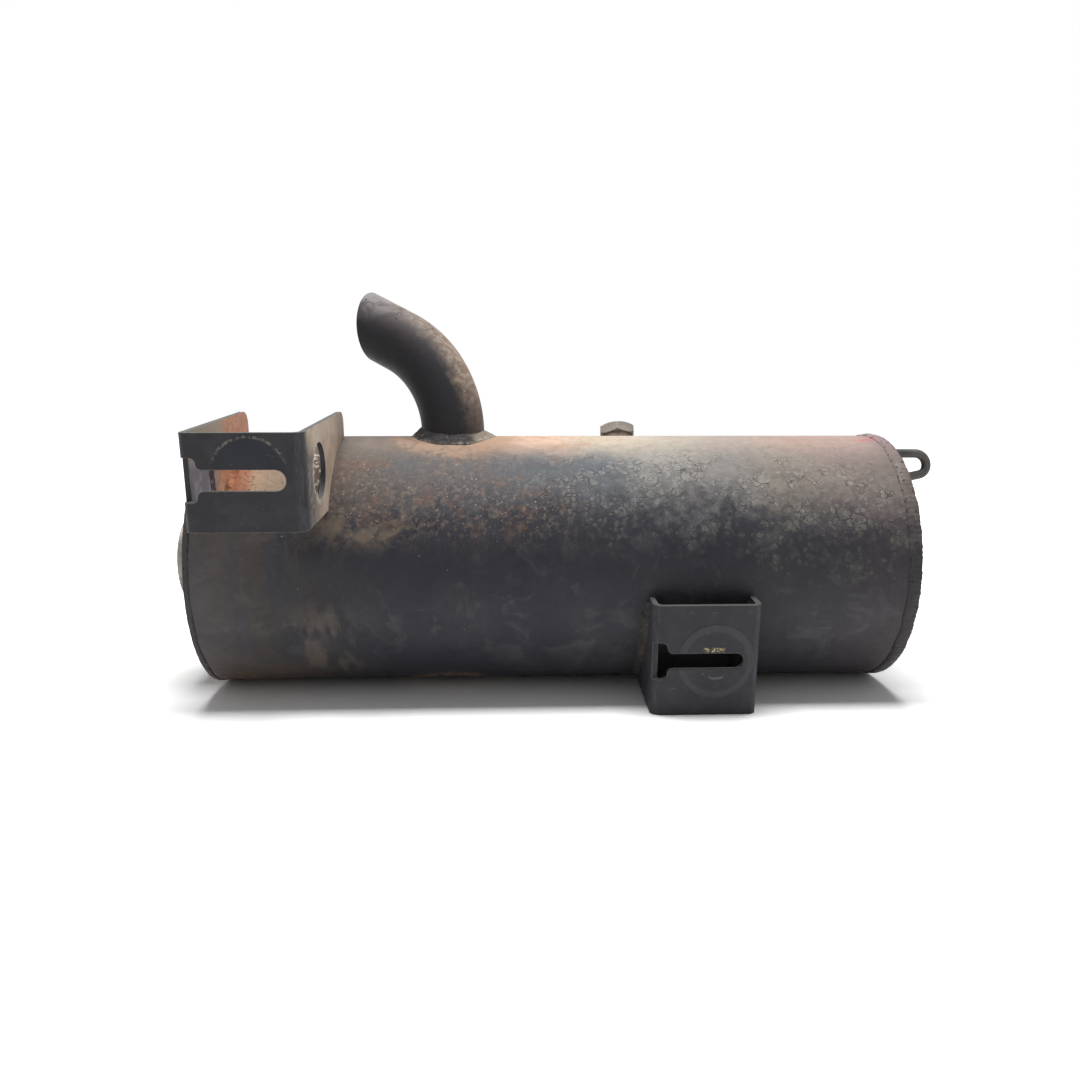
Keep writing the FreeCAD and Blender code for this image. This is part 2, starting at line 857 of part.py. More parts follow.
nodes = {
    "shell": make_shell(),
    "shell_seam_weld": make_seam_weld(),
    "left_head": make_left_head(),
    "left_head_weld": make_left_head_weld(),
    "right_head": make_right_head(),
    "right_head_weld": make_right_head_weld(),
    "inlet_tube": make_inlet_tube(),
    "inlet_weld": make_inlet_weld(),
    "inlet_cap": make_inlet_cap(),
    "swirl_vanes": make_swirl_vanes(),
    "left_baffle": make_left_baffle(),
    "right_baffle": make_right_baffle(),
    "front_return_tube": make_return_tube(1),
    "rear_return_tube": make_return_tube(-1),
    "tail_pipe": make_tail_pipe(),
    "tail_pipe_weld": make_tail_weld(),
    "upper_bracket": make_upper_bracket(),
    "upper_bracket_left_weld": make_upper_bracket_weld("left"),
    "upper_bracket_right_weld": make_upper_bracket_weld("right"),
    "lower_bracket": make_lower_bracket(),
    "lower_bracket_left_weld": make_lower_bracket_weld("left"),
    "lower_bracket_right_weld": make_lower_bracket_weld("right"),
    "cleanout_boss": make_cleanout_boss(),
    "cleanout_boss_weld": make_cleanout_weld(),
    "cleanout_plug": make_cleanout_plug(),
    "hanger_loop": make_hanger_loop(),
    "hanger_loop_welds": make_hanger_loop_welds(),
}

# The row's origin is the middle of the bottom of the whole muffler's box.
box = Part.makeCompound(list(nodes.values())).optimalBoundingBox(False, False)
to_origin = Vector(-(box.XMin + box.XMax) / 2, -(box.YMin + box.YMax) / 2, -box.ZMin)

os.makedirs("parts", exist_ok=True)
for name, shape in nodes.items():
    shape.translate(to_origin)
    shape.exportStep(f"parts/{name}.step")
print("brackets lean", round(bracket_lean, 3), "degrees; moved by", to_origin)
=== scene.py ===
import math

import bpy
from mathutils import Matrix, Vector, noise


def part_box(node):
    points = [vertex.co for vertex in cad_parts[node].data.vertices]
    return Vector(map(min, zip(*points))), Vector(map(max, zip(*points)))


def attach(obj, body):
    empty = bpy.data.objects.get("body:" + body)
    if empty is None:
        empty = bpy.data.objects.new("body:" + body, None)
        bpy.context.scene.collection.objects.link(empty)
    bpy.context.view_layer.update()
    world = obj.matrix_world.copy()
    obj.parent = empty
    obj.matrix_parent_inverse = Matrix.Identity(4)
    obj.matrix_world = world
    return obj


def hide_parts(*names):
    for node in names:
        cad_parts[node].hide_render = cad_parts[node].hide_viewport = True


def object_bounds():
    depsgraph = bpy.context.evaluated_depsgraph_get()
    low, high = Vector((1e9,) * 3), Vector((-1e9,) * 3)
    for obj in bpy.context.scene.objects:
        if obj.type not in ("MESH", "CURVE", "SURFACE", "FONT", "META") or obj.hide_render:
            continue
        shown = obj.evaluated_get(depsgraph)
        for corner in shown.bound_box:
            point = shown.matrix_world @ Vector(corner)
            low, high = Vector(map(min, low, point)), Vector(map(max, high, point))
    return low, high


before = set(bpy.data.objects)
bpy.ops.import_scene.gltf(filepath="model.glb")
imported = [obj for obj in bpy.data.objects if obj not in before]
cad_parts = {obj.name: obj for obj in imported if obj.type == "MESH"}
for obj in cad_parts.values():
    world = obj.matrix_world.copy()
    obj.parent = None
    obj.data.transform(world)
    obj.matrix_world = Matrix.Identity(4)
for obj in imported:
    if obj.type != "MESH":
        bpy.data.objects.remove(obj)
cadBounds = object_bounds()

# Used muffler of a small engine, lying on a white table. Metres, +Z up.

shellLow, shellHigh = (Vector(corner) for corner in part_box("shell"))
leftEnd, rightEnd = shellLow.x, shellHigh.x
shellLength = rightEnd - leftEnd
axisY = (shellLow.y + shellHigh.y) / 2
axisZ = (shellLow.z + shellHigh.z) / 2
shellRadius = (shellHigh.z - shellLow.z) / 2
floorLevel = cadBounds[0][2]
backLimit = cadBounds[1][1]


# Small tools for node trees

workbench = {}  # holds the tree that these tools add to


def startTree(owner):
    owner.use_nodes = True
    owner.node_tree.nodes.clear()
    workbench["tree"] = owner.node_tree


def addNode(kind):
    return workbench["tree"].nodes.new(kind)


def newFinish(name):  # a finish, and the place on the piece in metres
    finish = bpy.data.materials.new(name)
    startTree(finish)
    return finish, addNode("ShaderNodeTexCoord").outputs["Object"]


def feed(value, socket):
    if isinstance(value, bpy.types.NodeSocket):
        workbench["tree"].links.new(value, socket)
    else:
        socket.default_value = value


def calc(operation, first, second=0.0, third=0.0):
    node = addNode("ShaderNodeMath")
    node.operation = operation
    for value, socket in zip((first, second, third), node.inputs):
        feed(value, socket)
    return node.outputs[0]


def addUp(*values):
    total = values[0]
    for value in values[1:]:
        total = calc("ADD", total, value)
    return total


def times(*values):
    total = values[0]
    for value in values[1:]:
        total = calc("MULTIPLY", total, value)
    return total


def centred(value):  # 0..1 becomes -0.5..0.5
    return calc("SUBTRACT", value, 0.5)


def awayFrom(first, second):  # how far a point is off, from its offsets along two axes
    return calc("SQRT", addUp(times(first, first), times(second, second)))


def fade(value, low, high):  # 0 at low, 1 at high, smooth between
    node = addNode("ShaderNodeMapRange")
    node.interpolation_type = "SMOOTHSTEP"
    feed(value, node.inputs["Value"])
    feed(low, node.inputs["From Min"])
    feed(high, node.inputs["From Max"])
    return node.outputs["Result"]


def stretchTo(value, low, high):  # 0..1 becomes low..high
    return calc("MULTIPLY_ADD", value, high - low, low)


def band(value, low, high, soft):  # 1 between low and high
    return times(fade(value, low - soft, low + soft), fade(value, high + soft, high - soft))


def contourLine(field, level, reach=0.014):  # a thin line where a noise has one level
    return fade(calc("ABSOLUTE", calc("SUBTRACT", field, level)), reach, 0.003)


def splitPlace(where):
    node = addNode("ShaderNodeSeparateXYZ")
    feed(where, node.inputs[0])
    return node.outputs


def splitColour(colour):
    node = addNode("ShaderNodeSeparateColor")
    feed(colour, node.inputs[0])
    return node.outputs


def scaled(where, factors):
    node = addNode("ShaderNodeVectorMath")
    node.operation = "MULTIPLY"
    feed(where, node.inputs[0])
    node.inputs[1].default_value = factors
    return node.outputs[0]


def facing(direction):  # how much the surface faces a fixed direction
    shape = addNode("ShaderNodeNewGeometry")
    node = addNode("ShaderNodeVectorMath")
    node.operation = "DOT_PRODUCT"
    feed(shape.outputs["Normal"], node.inputs[0])
    node.inputs[1].default_value = Vector(direction).normalized()
    return node.outputs["Value"]


def depthAlong(where, start, direction):  # metres from a point along a direction
    node = addNode("ShaderNodeVectorMath")
    node.operation = "DOT_PRODUCT"
    feed(where, node.inputs[0])
    node.inputs[1].default_value = direction
    return calc("SUBTRACT", node.outputs["Value"], Vector(start).dot(Vector(direction)))


def clouds(where, size, detail=5.0, rough=0.55, twist=0.0):  # size in metres
    node = addNode("ShaderNodeTexNoise")
    feed(where, node.inputs["Vector"])
    node.inputs["Scale"].default_value = 1.0 / size
    node.inputs["Detail"].default_value = detail
    node.inputs["Roughness"].default_value = rough
    node.inputs["Distortion"].default_value = twist
    return node.outputs["Fac"]


def bentBy(where, size, amount):  # moves places about, so that outlines go curvy
    swirl = addNode("ShaderNodeTexNoise")
    feed(where, swirl.inputs["Vector"])
    swirl.inputs["Scale"].default_value = 1.0 / size
    swirl.inputs["Detail"].default_value = 3.0
    node = addNode("ShaderNodeVectorMath")
    node.operation = "MULTIPLY_ADD"
    feed(swirl.outputs["Color"], node.inputs[0])
    node.inputs[1].default_value = (amount, amount, amount)
    feed(where, node.inputs[2])
    return node.outputs[0]


def grains(where, size):  # round grains, size in metres
    node = addNode("ShaderNodeTexVoronoi")
    feed(where, node.inputs["Vector"])
    node.inputs["Scale"].default_value = 1.0 / size
    return node


def dots(where, size, share, radius):  # a share of the grains, as round dots
    node = grains(where, size)
    pick = splitColour(node.outputs["Color"])[0]
    chosen = fade(pick, 1.0 - share, 1.0 - share + 0.01)
    return times(chosen, fade(node.outputs["Distance"], radius, radius * 0.4))


def paint(code):  # a colour as a web code, made linear
    parts = [int(code[place:place + 2], 16) / 255 for place in (0, 2, 4)]
    linear = [part / 12.92 if part <= 0.04045 else ((part + 0.055) / 1.055) ** 2.4 for part in parts]
    return (*linear, 1.0)


def over(share, under, top):
    node = addNode("ShaderNodeMix")
    node.data_type = "RGBA"
    feed(share, node.inputs[0])
    feed(paint(under) if isinstance(under, str) else under, node.inputs[6])
    feed(paint(top) if isinstance(top, str) else top, node.inputs[7])
    return node.outputs[2]


def cover(under, top, *shares):  # lays a colour over another, by the product of the shares
    return over(times(*shares), under, top)


def shade(colour, amount):  # multiplies a colour by a number
    node = addNode("ShaderNodeVectorMath")
    node.operation = "SCALE"
    feed(colour, node.inputs[0])
    feed(amount, node.inputs["Scale"])
    return node.outputs[0]


def along(value, stops, smooth="EASE"):  # colours or shares at places from 0 to 1
    node = addNode("ShaderNodeValToRGB")
    node.color_ramp.interpolation = smooth
    feed(value, node.inputs[0])
    points = node.color_ramp.elements
    while len(points) > 1:
        points.remove(points[0])
    for number, (place, mark) in enumerate(stops):
        point = points[0] if number == 0 else points.new(place)
        point.position = place
        point.color = paint(mark) if isinstance(mark, str) else (mark, mark, mark, 1.0)
    return node.outputs["Color"]


def edgeWear(radius):  # 1 on the sharp outer edges of a piece
    rounded = addNode("ShaderNodeBevel")
    rounded.samples = 6
    rounded.inputs["Radius"].default_value = radius
    shape = addNode("ShaderNodeNewGeometry")
    node = addNode("ShaderNodeVectorMath")
    node.operation = "DOT_PRODUCT"
    feed(rounded.outputs["Normal"], node.inputs[0])
    feed(shape.outputs["Normal"], node.inputs[1])
    return fade(node.outputs["Value"], 0.985, 0.90), rounded.outputs["Normal"]


def finishOff(finish, colour, rough, height, depth, metallic=0.0, normal=None, specular=0.4):
    shader = addNode("ShaderNodeBsdfPrincipled")
    feed(colour, shader.inputs["Base Color"])
    feed(rough, shader.inputs["Roughness"])
    shader.inputs["Metallic"].default_value = metallic
    shader.inputs["Specular IOR Level"].default_value = specular
    bump = addNode("ShaderNodeBump")
    bump.inputs["Strength"].default_value = 1.0
    bump.inputs["Distance"].default_value = depth
    feed(height, bump.inputs["Height"])
    if normal is not None:
        feed(normal, bump.inputs["Normal"])
    feed(bump.outputs[0], shader.inputs["Normal"])
    output = addNode("ShaderNodeOutputMaterial")
    feed(shader.outputs[0], output.inputs["Surface"])
    return finish


def wear(nodeName, finish):
    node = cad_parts[nodeName]
    node.data.materials.clear()
    node.data.materials.append(finish)


# The shell: black coating, burnt off on top, with flaking scale, rust and heat tint

shellLook = {
    "coating": "454549",
    "coatingDeep": "393940",
    "coatingWarm": "52483f",
    "leftEnd": "6f6a68",
    "rightEnd": "5a5254",
    "rubbed": "6a6a6b",
    "paintedFrontShade": "2f2f34",
    "lowLeft": "6d655d",
    # colours along the shell, from its left end to its right end
    "ridge": [
        (0.0, "5a5049"), (0.18, "5f5852"), (0.235, "756b64"), (0.31, "806f63"),
        (0.388, "937a69"), (0.48, "c2a592"), (0.575, "b4a897"), (0.67, "a69d91"),
        (0.76, "998d85"), (0.86, "a08b81"), (0.953, "9f8a83"), (1.0, "857676"),
    ],
    "shoulder": [
        (0.0, "564c45"), (0.20, "60554e"), (0.25, "615a54"), (0.32, "68615c"),
        (0.39, "64605f"), (0.477, "63676b"), (0.564, "6e7174"), (0.65, "908d89"),
        (0.737, "807c79"), (0.827, "847c73"), (0.913, "827671"), (1.0, "766c67"),
    ],
    # where the burnt part ends, as a share of the half turn from top to bottom
    "burntLimit": [
        (0.0, 0.44), (0.17, 0.41), (0.22, 0.40), (0.30, 0.375),
        (0.38, 0.36), (0.46, 0.34), (0.54, 0.345), (0.64, 0.37),
        (0.73, 0.385), (0.83, 0.39), (0.93, 0.42), (1.0, 0.45),
    ],
    "flakeSize": 0.0074,
    "flakeOutline": "3f3e40",
    "flakePale": "9b9891",
    "flakeDark": "686762",
    "strayRing": "6b625c",
    "rustSpeck": "86604f",
    "paleSpeck": "a89a8c",
    "blueTint": "50565d",
    "salt": "aaa39a",
    # rust, heat marks and crust
    "paleGrit": "8a7a6d", "rustCloud": "6f554b", "darkGrit": "3b3839", "pipeHalo": "a07c64",
    "pipeRing": "a08672", "orangeStreak": "a87c62", "crack": "352e2b", "whiteCrust": "d0c9c0",
    "tanRun": "8b7f71", "lowRust": "7c6250", "redMark": "b0605c", "underBracket": "8b7a66",
    "weldLow": "403d3f", "weldBorder": "33302f", "weldPit": "2b2726",  # the end welds alone
    "bareBehindBracket": [
        (0.0, "98634b"), (0.14, "a1725a"), (0.26, "a48b76"), (0.66, "988674"),
        (0.80, "7f726a"), (1.0, "6c5d54"),
    ],
}


def makeShellFinish(name, weldEdge=None):  # weldEdge is where an end weld laps onto the shell
    look = shellLook
    finish, where = newFinish(name)
    axes = splitPlace(where)
    length = calc("DIVIDE", calc("SUBTRACT", axes[0], leftEnd), shellLength)
    forward = calc("SUBTRACT", axisY, axes[1])
    rise = calc("SUBTRACT", axes[2], axisZ)
    signedTurn = calc("DIVIDE", calc("ARCTAN2", forward, rise), math.pi)
    turn = calc("ABSOLUTE", signedTurn)  # 0 on top, 1 at the bottom

    broad = clouds(where, 0.075, 3.0)
    patchy = clouds(where, 0.020, 7.0, 0.62, 0.5)
    small = clouds(where, 0.0045, 5.0, 0.6)
    fine = clouds(where, 0.0011, 3.0, 0.6)
    centredBroad = centred(broad)
    centredPatchy = centred(patchy)
    centredSmall = centred(small)

    # dark coating, browner in bands round the left end, with painted shade in a band along the front
    coating = over(fade(broad, 0.35, 0.68), look["coatingDeep"], look["coating"])
    bands = clouds(scaled(where, (1.0, 0.10, 0.10)), 0.016, 4.0, 0.6)
    leftPart = fade(length, 0.32, 0.0)
    coating = cover(coating, look["coatingWarm"], fade(bands, 0.46, 0.62), leftPart, 0.55)
    coating = cover(coating, look["leftEnd"], fade(length, 0.15, 0.0), 0.5)
    coating = cover(coating, look["rightEnd"], fade(length, 0.80, 1.0), 0.5)
    worn = fade(clouds(where, 0.024, 6.0, 0.66, 0.8), 0.52, 0.64)
    coating = cover(coating, look["rubbed"], worn, band(turn, 0.25, 0.75, 0.12), 0.28)
    # painted shade: a darker band along the front of the shell, about level with its axis
    coating = cover(coating, look["paintedFrontShade"], band(turn, 0.40, 0.53, 0.06), fade(length, 0.1, 0.2), 0.4)
    coating = cover(coating, look["lowLeft"], fade(turn, 0.66, 0.84), fade(length, 0.22, 0.02), 0.6)
    coating = shade(coating, addUp(1.0, times(centredSmall, 0.5), times(centredPatchy, 0.5)))

    # the burnt part above a wandering limit, paler towards the ridge
    limit = splitColour(along(length, look["burntLimit"]))[0]
    grainy = centred(clouds(bentBy(where, 0.006, 0.005), 0.0065, 6.0, 0.66))
    wander = addUp(
        times(centredBroad, 0.12),
        times(centredPatchy, 0.18),
        times(grainy, 0.26),
        times(centredSmall, 0.08),
    )
    reach = addUp(calc("SUBTRACT", limit, turn), wander)
    burnt = fade(reach, -0.04, 0.20)
    ridgeShare = fade(calc("ADD", turn, times(centredPatchy, 0.10)), 0.22, 0.08)
    ridge = along(length, look["ridge"])
    shoulder = along(length, look["shoulder"])
    ground = over(ridgeShare, shoulder, ridge)
    change = addUp(1.0, times(centredPatchy, 0.45), times(centredSmall, 0.35))
    ground = shade(ground, addUp(change, times(grainy, 0.5)))
    colour = over(burnt, coating, ground)

    # rounded flakes of scale with dark curvy rims, big and small, in clumps along the limit
    clump = fade(clouds(where, 0.018, 4.0, 0.6), 0.40, 0.54)
    zone = times(fade(reach, -0.12, 0.01), fade(reach, 0.30, 0.14), fade(length, 0.42, 0.52), clump)
    flakeColour = over(burnt, look["flakeDark"], look["flakePale"])
    flakeColour = shade(flakeColour, stretchTo(small, 0.75, 1.2))
    flakeMarks = []
    for size, share in ((look["flakeSize"], 0.45), (look["flakeSize"] * 0.5, 0.30)):
        place = bentBy(bentBy(where, size * 1.3, size), size * 0.45, size * 0.35)
        flakes = grains(place, size)
        kind = splitColour(flakes.outputs["Color"])
        inwards = calc("SUBTRACT", stretchTo(kind[2], 0.30, 0.62), flakes.outputs["Distance"])
        chosen = times(zone, fade(kind[0], share - 0.1, share + 0.1))
        pale = times(chosen, fade(inwards, 0.0, 0.10))
        rim = times(chosen, band(inwards, -0.10, 0.02, 0.04), fade(grainy, -0.08, 0.06))
        colour = cover(colour, look["flakeOutline"], rim, 0.72)
        colour = cover(colour, flakeColour, pale, 0.52)
        flakeMarks += [times(pale, 0.35), times(rim, -0.35)]
    contour = clouds(bentBy(where, 0.004, 0.003), 0.0075, 4.0, 0.55, 0.8)
    lines = contourLine(contour, 0.53)
    colour = cover(colour, look["flakeOutline"], lines, zone, 0.50)
    stray = times(band(turn, 0.10, 0.24, 0.04), fade(length, 0.5, 0.7))
    ringField = clouds(where, 0.009, 4.0, 0.5, 1.2)
    rings = contourLine(ringField, 0.56, 0.012)
    colour = cover(colour, look["strayRing"], rings, stray, clump, 0.55)

    # speckled rust between the upper bracket and the middle
    speckled = times(band(length, 0.17, 0.52, 0.05), band(turn, 0.15, 0.40, 0.06))
    grit = fade(clouds(where, 0.0035, 6.0, 0.72), 0.49, 0.62)
    colour = cover(colour, look["paleGrit"], grit, speckled, 0.50)
    rustCloud = fade(clouds(where, 0.015, 5.0, 0.65), 0.50, 0.64)
    colour = cover(colour, look["rustCloud"], rustCloud, speckled, 0.40)
    crumbled = bentBy(where, 0.0018, 0.0020)
    colour = cover(colour, look["rustSpeck"], dots(crumbled, 0.0031, 0.24, 0.30), speckled, 0.60)
    colour = cover(colour, look["paleSpeck"], dots(crumbled, 0.0026, 0.30, 0.26), speckled, 0.70)
    darkGrit = fade(clouds(where, 0.0028, 5.0, 0.7), 0.55, 0.66)
    colour = cover(colour, look["darkGrit"], darkGrit, speckled, 0.5)

    # blue heat tint in front of the pipe's foot, and its rusty halo above
    tintShare = times(band(length, 0.24, 0.58, 0.06), band(turn, 0.16, 0.25, 0.04), fade(patchy, 0.44, 0.56))
    colour = cover(colour, look["blueTint"], tintShare, 0.50)
    haloShare = times(band(length, 0.33, 0.56, 0.05), band(turn, -0.2, 0.135, 0.03))
    haloField = clouds(where, 0.010, 5.0, 0.65)
    colour = cover(colour, look["pipeHalo"], haloShare, fade(haloField, 0.46, 0.60), 0.50)
    # a burnt tan ring on the shell round the pipe's collar
    pipeLow, pipeHigh = (Vector(corner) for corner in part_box("tail_pipe_weld"))
    acrossPipe = calc("SUBTRACT", axes[0], (pipeLow.x + pipeHigh.x) / 2)
    fromPipe = awayFrom(acrossPipe, forward)
    fromPipe = addUp(fromPipe, times(grainy, 0.014), times(centredPatchy, 0.014))
    ring = times(band(fromPipe, 0.026, 0.043, 0.004), fade(small, 0.30, 0.55))
    colour = cover(colour, look["pipeRing"], ring, 0.70)
    orangeStreak = fade(clouds(scaled(where, (0.3, 1.0, 1.0)), 0.006, 4.0, 0.6), 0.56, 0.66)
    streakShare = times(band(length, 0.45, 0.72, 0.06), fade(turn, 0.13, 0.08))
    colour = cover(colour, look["orangeStreak"], orangeStreak, streakShare, 0.40)

    # bare steel behind the upper bracket, salmon at its left end, with dark cracks
    bracketPlace = fade(axes[0], bareLeft, bareRight)
    bare = times(band(axes[0], bareLeft, bareRight, 0.0015), band(signedTurn, 0.05, 0.32, 0.015))
    orange = along(bracketPlace, look["bareBehindBracket"])
    crackField = clouds(where, 0.010, 4.0, 0.5, 1.8)
    cracks = times(contourLine(crackField, 0.5), fade(patchy, 0.44, 0.56))
    orange = shade(orange, addUp(0.95, times(centredPatchy, 0.6), times(centredSmall, 0.4)))
    orange = cover(orange, look["crack"], cracks, 0.95)
    crustField = clouds(bentBy(where, 0.003, 0.002), 0.0042, 5.0, 0.68)
    whiteCrust = times(fade(crustField, 0.51, 0.58), fade(bracketPlace, 0.76, 0.88))
    orange = cover(orange, look["whiteCrust"], whiteCrust, 0.75)
    colour = cover(colour, orange, bare)

    # tan runs low on the left, rust at the lower edge, a red mark near the right end
    tan = times(
        band(length, 0.13, 0.22, 0.03),
        band(signedTurn, 0.58, 0.80, 0.05),
        fade(clouds(scaled(where, (1.0, 0.4, 0.4)), 0.010, 5.0), 0.45, 0.62),
    )
    colour = cover(colour, look["tanRun"], tan, 0.34)
    lowRust = times(fade(turn, 0.70, 0.84), fade(length, 0.30, 0.0))
    lowRust = times(lowRust, fade(patchy, 0.42, 0.58))
    colour = cover(colour, look["lowRust"], lowRust, 0.55)
    redMark = times(
        band(length, 0.955, 0.985, 0.008),
        band(signedTurn, 0.05, 0.09, 0.015),
        fade(small, 0.4, 0.55),
    )
    colour = cover(colour, look["redMark"], redMark, 0.55)
    underBracket = times(
        band(length, 0.19, 0.30, 0.03),
        band(signedTurn, 0.36, 0.42, 0.03),
        fade(patchy, 0.44, 0.60),
    )
    colour = cover(colour, look["underBracket"], underBracket, 0.6)

    # salt specks
    specks = dots(where, 0.009, 0.14, 0.065)
    colour = cover(colour, look["salt"], specks, 0.7)

    rough = stretchTo(burnt, 0.46, 0.72)
    rough = calc("ADD", rough, times(centredSmall, 0.3))
    marks = addUp(*flakeMarks)
    if weldEdge is not None:
        # an end weld: the same colours with pits, darker low down and along its inner border
        colour = cover(colour, look["weldLow"], fade(turn, 0.22, 0.50), 0.6)
        fromEdge = calc("ABSOLUTE", calc("SUBTRACT", axes[0], weldEdge))
        broken = fade(clouds(where, 0.004, 4.0, 0.6), 0.44, 0.60)
        border = fade(addUp(fromEdge, times(centredSmall, 0.004)), 0.0013, 0.0003)
        border = times(border, broken, 0.8)
        colour = cover(colour, look["weldBorder"], border)
        pits = dots(crumbled, 0.0038, 0.55, 0.26)
        colour = cover(colour, look["weldPit"], pits, 0.75)
        marks = times(pits, -1.2)
    height = addUp(times(burnt, -0.30), marks, times(small, 0.6), times(fine, 0.25), times(specks, 0.3))
    return finishOff(finish, colour, rough, height, 0.00035, specular=0.12)


upperLow, upperHigh = (Vector(corner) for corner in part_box("upper_bracket"))
lowerLow, lowerHigh = (Vector(corner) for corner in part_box("lower_bracket"))
bareLeft, bareRight = upperLow.x - 0.002, upperHigh.x - 0.004
wear("shell", makeShellFinish("scaledShellCoating"))
print("shell finished")


# The two folded brackets: satin charcoal coating, worn edges, washer marks

bracketLook = {
    "lean": 5.513,  # degrees, forward
    "sheet": 0.003,
    "patch": "404043",
    "rightBend": "63656b",
    "leftBend": "5f6064",
    "scratch": "6a6a6c",
    "paintedTopHighlight": "625f5b",
}
bracketLean = math.radians(bracketLook["lean"])
bracketUp = Vector((0.0, -math.sin(bracketLean), math.cos(bracketLean)))
bracketBack = Vector((0.0, math.cos(bracketLean), math.sin(bracketLean)))
upperLook = {
    "coating": "36363a",
    "worn": "8d8880",
    "markAcross": 0.0361,
    "markRise": 0.0780,
    "markRadius": 0.0200,
    "fromAxis": 0.1253,  # the web's face
    "holeBack": 0.0397,  # the round hole's middle, from the web's face and from the mark
    "holeRise": -0.0042,
    "holeRadius": 0.0165,
    "printInside": "2c2e34", "printFleck": "918a83", "beige": "b39d8a", "beigePale": "cab6a5",
    "beigeRear": "8a7767", "beigeSpot": "c4bcae", "cream": "d6cab4", "grey": "6a6561",
    "greyPale": "918983", "holeCrust": "ddd8cf", "lilac": "7b7880", "lilacPale": "98959c",
    "aboveSlot": "a99a8c", "tanned": "bd8766", "tannedPale": "cc9d84", "darkStrip": "332d2b",
    "outerLeft": "7a6a5c", "rearPit": "3a3230",
}
lowerLook = {
    "coating": "39393d",
    "worn": "7a7873",
    "markAcross": 0.0384,
    "markRise": -0.0402,
    "markRadius": 0.0230,
    "fromAxis": 0.1009,
    "washerPrint": "56565a", "bareArc": "c0b184", "lowArc": "7c7a78",
}


